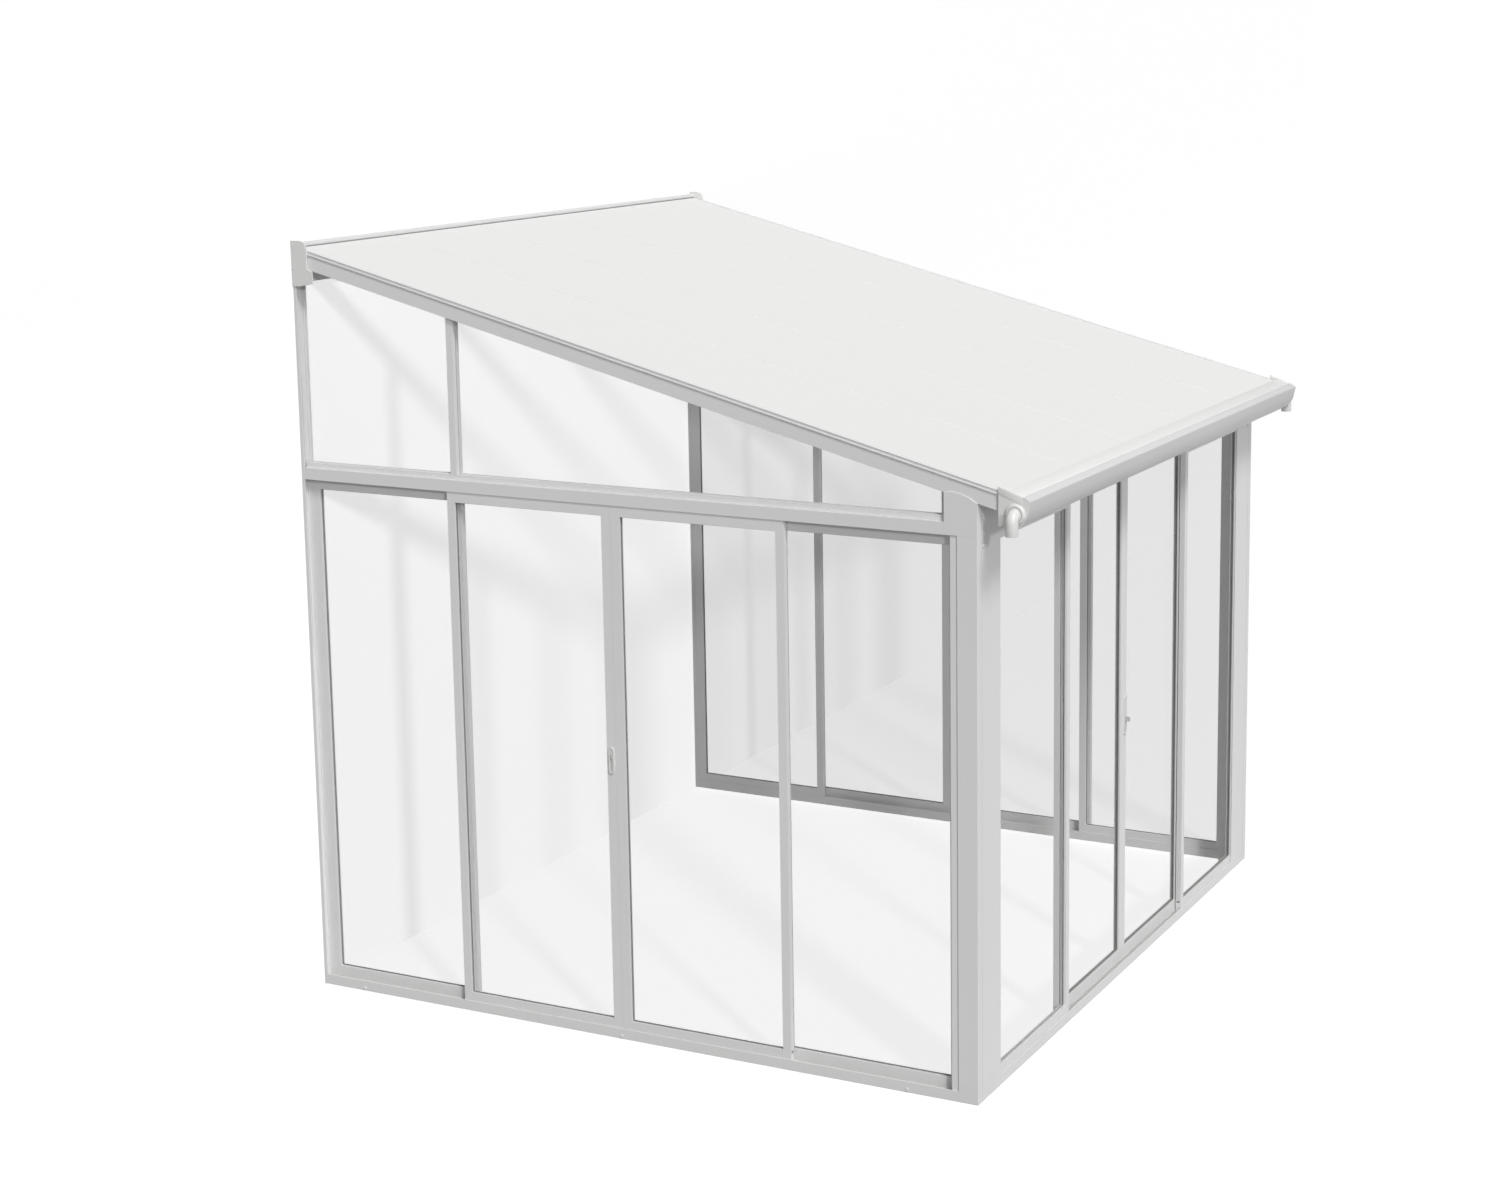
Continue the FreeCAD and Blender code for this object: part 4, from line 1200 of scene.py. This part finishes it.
@dataclass
class ScrewHeads:
    """Pan-head screws with a sunk drive, in place of the plain heads of the CAD."""

    sides: int = 24
    dome_share: float = 0.55
    dome_steps: int = 4
    drive_facing: float = 0.98
    drive_share: float = 0.42
    drive_depth: float = 1.6 * MM
    jamb_from_end: float = 21 * MM
    jamb_heights: Tuple[float, ...] = (92 * MM, 735 * MM, 1380 * MM)
    jamb_radius: float = 4.5 * MM
    jamb_proud: float = 1.6 * MM
    jamb_sunk: float = 0.8 * MM

    def build(self) -> None:
        """Build the screws of the corner posts, of the beam caps and of the front jambs."""
        self.row("corner_screw", "corner_screws", Axis.Y)
        self.row("beam_cap_screw", "beam_cap_screws", Axis.X)
        self.jambs()

    def jambs(self) -> None:
        """Build the small fixing screws in the outer stiles of the fixed front panels."""
        proud = Vector((self.jamb_radius, self.jamb_proud, self.jamb_radius))
        sunk = Vector((self.jamb_radius, self.jamb_sunk, self.jamb_radius))
        for low, high in front_frames():
            x = low.x + self.jamb_from_end if low.x < 0 else high.x - self.jamb_from_end
            for index, z in enumerate(self.jamb_heights):
                spot = Vector((x, low.y, z))
                name = "jamb_screw_%s_%d" % ("left" if x < 0 else "right", index)
                piece = self.head(name, spot - proud, spot + sunk, Axis.Y, Vector((0, -1, 0)))
                keep(piece, "frame", SCREW_PAINT)

    def row(self, stem: str, node: str, axis: Axis) -> None:
        """One screw head for each solid of a node.

        Args:
            stem: Start of the pieces' names.
            node: The CAD node whose heads are replaced.
            axis: Axis that the screws lie along: X for the gables, Y for the front.
        """
        for index, (low, high) in enumerate(solids(node)):
            out = Vector((0, 0, 0))
            out[axis.value] = 1 if axis is Axis.X and low.x > 0 else -1
            piece = self.head("%s_%d" % (stem, index), low, high, axis, out)
            keep(piece, "frame", SCREW_PAINT)
            if index == 0:
                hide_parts(node)

    def head(self, name: str, low: Vector, high: Vector, axis: Axis, out: Vector) -> Piece:
        """A domed head with a drive sunk into it.

        Args:
            name: The piece's name.
            low: Lowest corner of the plain head.
            high: Highest corner of the plain head.
            axis: Axis of the screw.
            out: Outward direction.

        Returns:
            The head.
        """
        size = high - low
        radius = size.z / 2
        dome = self.dome_share * size[axis.value]
        piece = Bench.disc(name, (low + high) / 2, axis, radius, size[axis.value], self.sides)
        with Bench.editing(piece) as mesh:
            Bench.pick(piece, mesh.faces, lambda f: f.normal.dot(out) > FACING)
            bpy.ops.mesh.bevel(offset=dome, segments=self.dome_steps, affect="EDGES")
        with Bench.editing(piece) as mesh:
            Bench.pick(piece, mesh.faces,
                       lambda f: f.normal.dot(out) > self.drive_facing and len(f.verts) == self.sides)
            bpy.ops.mesh.inset(thickness=radius - dome - self.drive_share * radius)
            Bench.pull(-out * self.drive_depth)
        Bench.smooth(piece)
        return piece


@dataclass
class LockRims:
    """Raised rims round the lock plates."""

    width: float = 3.5 * MM
    height: float = 1.2 * MM
    end_share: float = 0.98
    steps: int = 8
    edge: float = 0.4 * MM

    def build(self) -> None:
        """Build a rim on each lock plate."""
        for wall in Wall:
            side = wall.name.lower()
            node = "lock_plate_" + side
            low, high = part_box(node)
            keep(self.rim("lock_rim_" + side, low, high, wall), body_with(node), LOCK_PAINT)

    def rim(self, name: str, low: Vector, high: Vector, wall: Wall) -> Piece:
        """A rounded ring on the outer face of one plate.

        Args:
            name: The piece's name.
            low: Lowest corner of the plate.
            high: Highest corner of the plate.
            wall: The wall that the plate is on.

        Returns:
            The rim.
        """
        axis = wall.axis.value
        across = 1 - axis
        radius = (high[across] - low[across]) / 2 * self.end_share
        piece = Bench.block(name, *skin(low, high, wall.axis, wall.sign, self.height))
        with Bench.editing(piece, Element.EDGE) as mesh:
            Bench.pick(piece, mesh.edges,
                       lambda e: abs((e.verts[0].co - e.verts[1].co)[axis]) > self.height / 2)
            bpy.ops.mesh.bevel(offset=radius, segments=self.steps, affect="EDGES")
        Bench.open_through(piece, wall.axis, self.width)
        Bench.soften(piece, self.edge)
        return piece


@dataclass
class EdgeFittings:
    """Adjuster slots and plugs on the free edges of the outer panels; each slot is a dark plate that paints
    the shade inside its adjusting hole.
    """

    slot_z: float = 68 * MM
    plug_z: float = 50 * MM
    slot_size: Tuple[float, float] = (14 * MM, 8 * MM)
    plug_size: Tuple[float, float] = (14 * MM, 11 * MM)
    proud: float = 1.0 * MM
    sunk_share: float = 0.6
    rim: float = 1.6 * MM
    edge: float = 0.3 * MM

    def build(self) -> None:
        """Build the fittings of the gable doors and of the fixed front panels."""
        for side in ("left", "right"):
            rear, fore = "door_%s_rear" % side, "door_%s_fore" % side
            low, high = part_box(rear)
            middle = (low.x + high.x) / 2
            self.pair(rear, rear, Vector((middle, high.y, 0)), Vector((0, 1, 0)))
            self.pair(fore, fore, Vector((middle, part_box(fore)[0].y, 0)), Vector((0, -1, 0)))
        for low, high in front_frames():
            left = low.x < 0
            edge = Vector((high.x if left else low.x, (low.y + high.y) / 2, 0))
            label = "fixed_front_left" if left else "fixed_front_right"
            self.pair(label, "frame", edge, Vector((1 if left else -1, 0, 0)))

    def pair(self, label: str, body: str, edge: Vector, out: Vector) -> None:
        """The slot and the plug on one panel's edge.

        Args:
            label: The panel's name.
            body: The body that the panel belongs to.
            edge: Middle of the edge at floor level.
            out: Outward direction of the edge.
        """
        slot = self.plate("adjuster_slot_" + label, edge + Vector((0, 0, self.slot_z)), out, self.slot_size)
        # painted shade: the dark seal rubber on the slot plate stands in for the shade inside the adjusting
        # hole
        keep(slot, body, SEAL)
        plug = self.plate("adjuster_plug_" + label, edge + Vector((0, 0, self.plug_z)), out, self.plug_size)
        keep(plug, body, PLASTIC)

    def plate(self, name: str, centre: Vector, out: Vector, size: Tuple[float, float]) -> Piece:
        """A small rounded plate with a sunk face.

        Args:
            name: The piece's name.
            centre: Middle of the plate's back.
            out: Outward direction.
            size: Width across the edge and height.

        Returns:
            The plate.
        """
        across = Vector((abs(out.y), abs(out.x), 0))
        half = across * (size[0] / 2) + Vector((0, 0, size[1] / 2))
        low = centre - half
        high = centre + half + out * self.proud
        piece = Bench.block(name, Vector(map(min, low, high)), Vector(map(max, low, high)))
        with Bench.editing(piece) as mesh:
            Bench.pick(piece, mesh.faces, lambda f: f.normal.dot(out) > FACING)
            bpy.ops.mesh.inset(thickness=self.rim)
            Bench.pull(-out * self.proud * self.sunk_share)
        Bench.soften(piece, self.edge)
        return piece


class Seen(Enum):
    """Rays that see the stage as white."""

    CAMERA = "Is Camera Ray"
    GLOSSY = "Is Glossy Ray"
    TRANSMISSION = "Is Transmission Ray"


def seen_mask(tree: Tree) -> Socket:
    """A mask that is one for rays that look at the stage and nought for rays that carry its light.

    Args:
        tree: The tree that the mask is placed in.

    Returns:
        The mask.
    """
    path = place(tree, "LightPath")
    mask = path.outputs[Seen.CAMERA.value]
    for kind in (Seen.GLOSSY, Seen.TRANSMISSION):
        mask = reckon(tree, "MAXIMUM", mask, path.outputs[kind.value])
    return mask


@dataclass
class Studio:
    """Pale floor, soft light and the camera at the photograph's viewing angle."""

    stand: Tuple[float, float, float] = (-9.5642, -4.9516, 3.8747)
    yaw: float = 64.861
    pitch: float = 9.478
    roll: float = 0.301
    focal_pixels: float = 2576.7
    shift: Tuple[float, float] = (-0.12, -0.10)
    far_end: float = 200.0
    floor_size: float = 120.0
    floor_gap: float = 0.5 * MM
    wall_size: Tuple[float, float] = (24.0, 12.0)
    wall_gap: float = 2 * MM
    to_key: Tuple[float, float, float] = (-0.80, -1.0, 0.40)
    key_strength: float = 0.8
    key_spread: float = 5.0
    to_top: Tuple[float, float, float] = (-0.72, -1.0, 1.5)
    top_strength: float = 1.78
    top_spread: float = 15.0
    to_sky: Tuple[float, float, float] = (-0.08, -0.1, 1.0)
    sky_strength: float = 0.6
    sky_spread: float = 150.0
    lamp_distance: float = 8.0
    ambient: float = 0.13
    bounce: float = 0.30
    stage_colour: float = 0.8

    def build(self) -> None:
        """Set up the stage, the lights, the world and the camera."""
        bpy.context.scene.view_settings.view_transform = "Standard"
        self.stage()
        self.world()
        key = self.lamp("key_light", self.to_key, self.key_strength, self.key_spread)
        key.light_linking.blocker_collection = self.gather("frame_only", (OPAL, GLASS))
        top = self.lamp("top_light", self.to_top, self.top_strength, self.top_spread)
        top.light_linking.blocker_collection = self.gather("all_but_glass", (GLASS,))
        sky = self.lamp("sky_light", self.to_sky, self.sky_strength, self.sky_spread)
        whole = self.gather("sunroom")
        for lamp in (top, sky):
            lamp.light_linking.receiver_collection = whole
        self.camera()

    def stage(self) -> None:
        """A white floor and a white house-side backdrop, both of which keep the key light's shadows."""
        key = Vector(self.to_key).normalized()
        lit = self.key_strength / math.pi * self.stage_colour
        floor_own = 1.0 - self.stage_colour * self.ambient
        wall_own = 1.0 - self.stage_colour * (self.ambient + self.bounce) / 2
        Bench.clear()
        bpy.ops.mesh.primitive_plane_add(size=self.floor_size, location=(0, 0, -self.floor_gap))
        floor = bpy.context.object
        floor.name = "studio_floor"
        floor.data.materials.append(self.white("studio_floor", floor_own - lit * key.z))
        middle = (0, CAD_HIGH.y + self.wall_gap, self.wall_size[1] / 2)
        bpy.ops.mesh.primitive_plane_add(size=1.0, location=middle, rotation=(math.pi / 2, 0, 0))
        wall = bpy.context.object
        wall.name = "studio_backdrop"
        wall.scale = (*self.wall_size, 1.0)
        wall.data.materials.append(self.white("studio_backdrop", wall_own + lit * key.y))
        wall.visible_diffuse = False
        wall.visible_glossy = False
        wall.visible_shadow = False
        for piece in (floor, wall):
            piece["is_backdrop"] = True
            LOG.info("stage %s", piece.name)

    def white(self, name: str, glow: float) -> bpy.types.Material:
        """A stage white: it glows so far that the key light brings it up to pure white.

        Args:
            name: The material's name.
            glow: Strength of its own glow where it is looked at.

        Returns:
            The material, clear from behind.
        """
        material = bpy.data.materials.new(name)
        material.use_nodes = True
        tree = material.node_tree
        tree.nodes.clear()
        own = place(tree, "Emission", {"Strength": glow})
        catch = place(tree, "BsdfDiffuse", {"Color": rgba((self.stage_colour,) * 3)})
        shown = place(tree, "AddShader", {0: own.outputs[0], 1: catch.outputs[0]})
        bounce = place(tree, "Emission", {"Strength": self.bounce})
        by_ray = place(tree, "MixShader", {0: seen_mask(tree), 1: bounce.outputs[0], 2: shown.outputs[0]})
        behind = place(tree, "NewGeometry").outputs["Backfacing"]
        clear = place(tree, "BsdfTransparent")
        by_side = place(tree, "MixShader", {0: behind, 1: by_ray.outputs[0], 2: clear.outputs[0]})
        place(tree, "OutputMaterial", {"Surface": by_side.outputs[0]})
        return material

    def world(self) -> None:
        """A world that is white to look at and gives a little even light of its own."""
        world = bpy.data.worlds.new("studio_world")
        bpy.context.scene.world = world
        world.use_nodes = True
        tree = world.node_tree
        level = reckon(tree, "MAXIMUM", seen_mask(tree), self.ambient)
        feed(tree, tree.nodes["Background"], {"Color": rgba((1.0, 1.0, 1.0)), "Strength": level})

    @staticmethod
    def gather(name: str, left_out: Sequence[Finish] = ()) -> bpy.types.Collection:
        """Gather the object's meshes, without the stage, so that a lamp can be linked to them.

        Args:
            name: The collection's name.
            left_out: Finishes whose pieces stay out, as the lamp's light passes them.

        Returns:
            The collection.
        """
        group = bpy.data.collections.new(name)
        bpy.context.scene.collection.children.link(group)
        clear = [finish.material() for finish in left_out]
        for piece in list(bpy.context.scene.objects):
            if piece.type == "MESH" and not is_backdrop(piece) and piece.data.materials[0] not in clear:
                group.objects.link(piece)
        return group

    def lamp(self, name: str, way: Sequence[float], strength: float, spread: float) -> Piece:
        """A soft parallel lamp.

        Args:
            name: The lamp's name.
            way: Direction from the object to the lamp.
            strength: Its strength.
            spread: Angle of the lamp's disc in degrees, which softens its shadows.

        Returns:
            The lamp.
        """
        towards = Vector(way)
        data = bpy.data.lights.new(name, "SUN")
        data.energy = strength
        data.angle = math.radians(spread)
        lamp = bpy.data.objects.new(name, data)
        lamp.rotation_mode = "QUATERNION"
        lamp.rotation_quaternion = towards.to_track_quat("Z", "Y")
        lamp.location = towards.normalized() * self.lamp_distance
        bpy.context.scene.collection.objects.link(lamp)
        return lamp

    def camera(self) -> None:
        """The camera, turned by yaw from +Y towards +X, pitched down and rolled."""
        yaw, pitch, roll = (math.radians(a) for a in (self.yaw, self.pitch, self.roll))
        ahead = Vector((math.sin(yaw) * math.cos(pitch), math.cos(yaw) * math.cos(pitch), -math.sin(pitch)))
        right = Vector((math.cos(yaw), -math.sin(yaw), 0.0))
        down = ahead.cross(right)
        right_turned = math.cos(roll) * right + math.sin(roll) * down
        down_turned = math.cos(roll) * down - math.sin(roll) * right
        turn = Matrix((right_turned, -down_turned, -ahead)).transposed()
        data = bpy.data.cameras.new("photo_camera")
        data.sensor_width = SENSOR
        data.lens = self.focal_pixels * SENSOR / IMAGE_WIDTH
        data.shift_x, data.shift_y = self.shift
        data.clip_end = self.far_end
        camera = bpy.data.objects.new("photo_camera", data)
        camera.matrix_world = Matrix.Translation(Vector(self.stand)) @ turn.to_4x4()
        bpy.context.scene.collection.objects.link(camera)
        bpy.context.scene.camera = camera


def main() -> None:
    """Build the looks in order and report each piece."""
    logging.basicConfig(level=logging.INFO, format="%(name)s: %(message)s")
    Bench.clear()
    Nodes().dress()
    GlazingSeals().build()
    RoofLines().build()
    Gutter().build()
    ScrewHeads().build()
    LockRims().build()
    EdgeFittings().build()
    Studio().build()


if __name__ == "__main__":
    main()
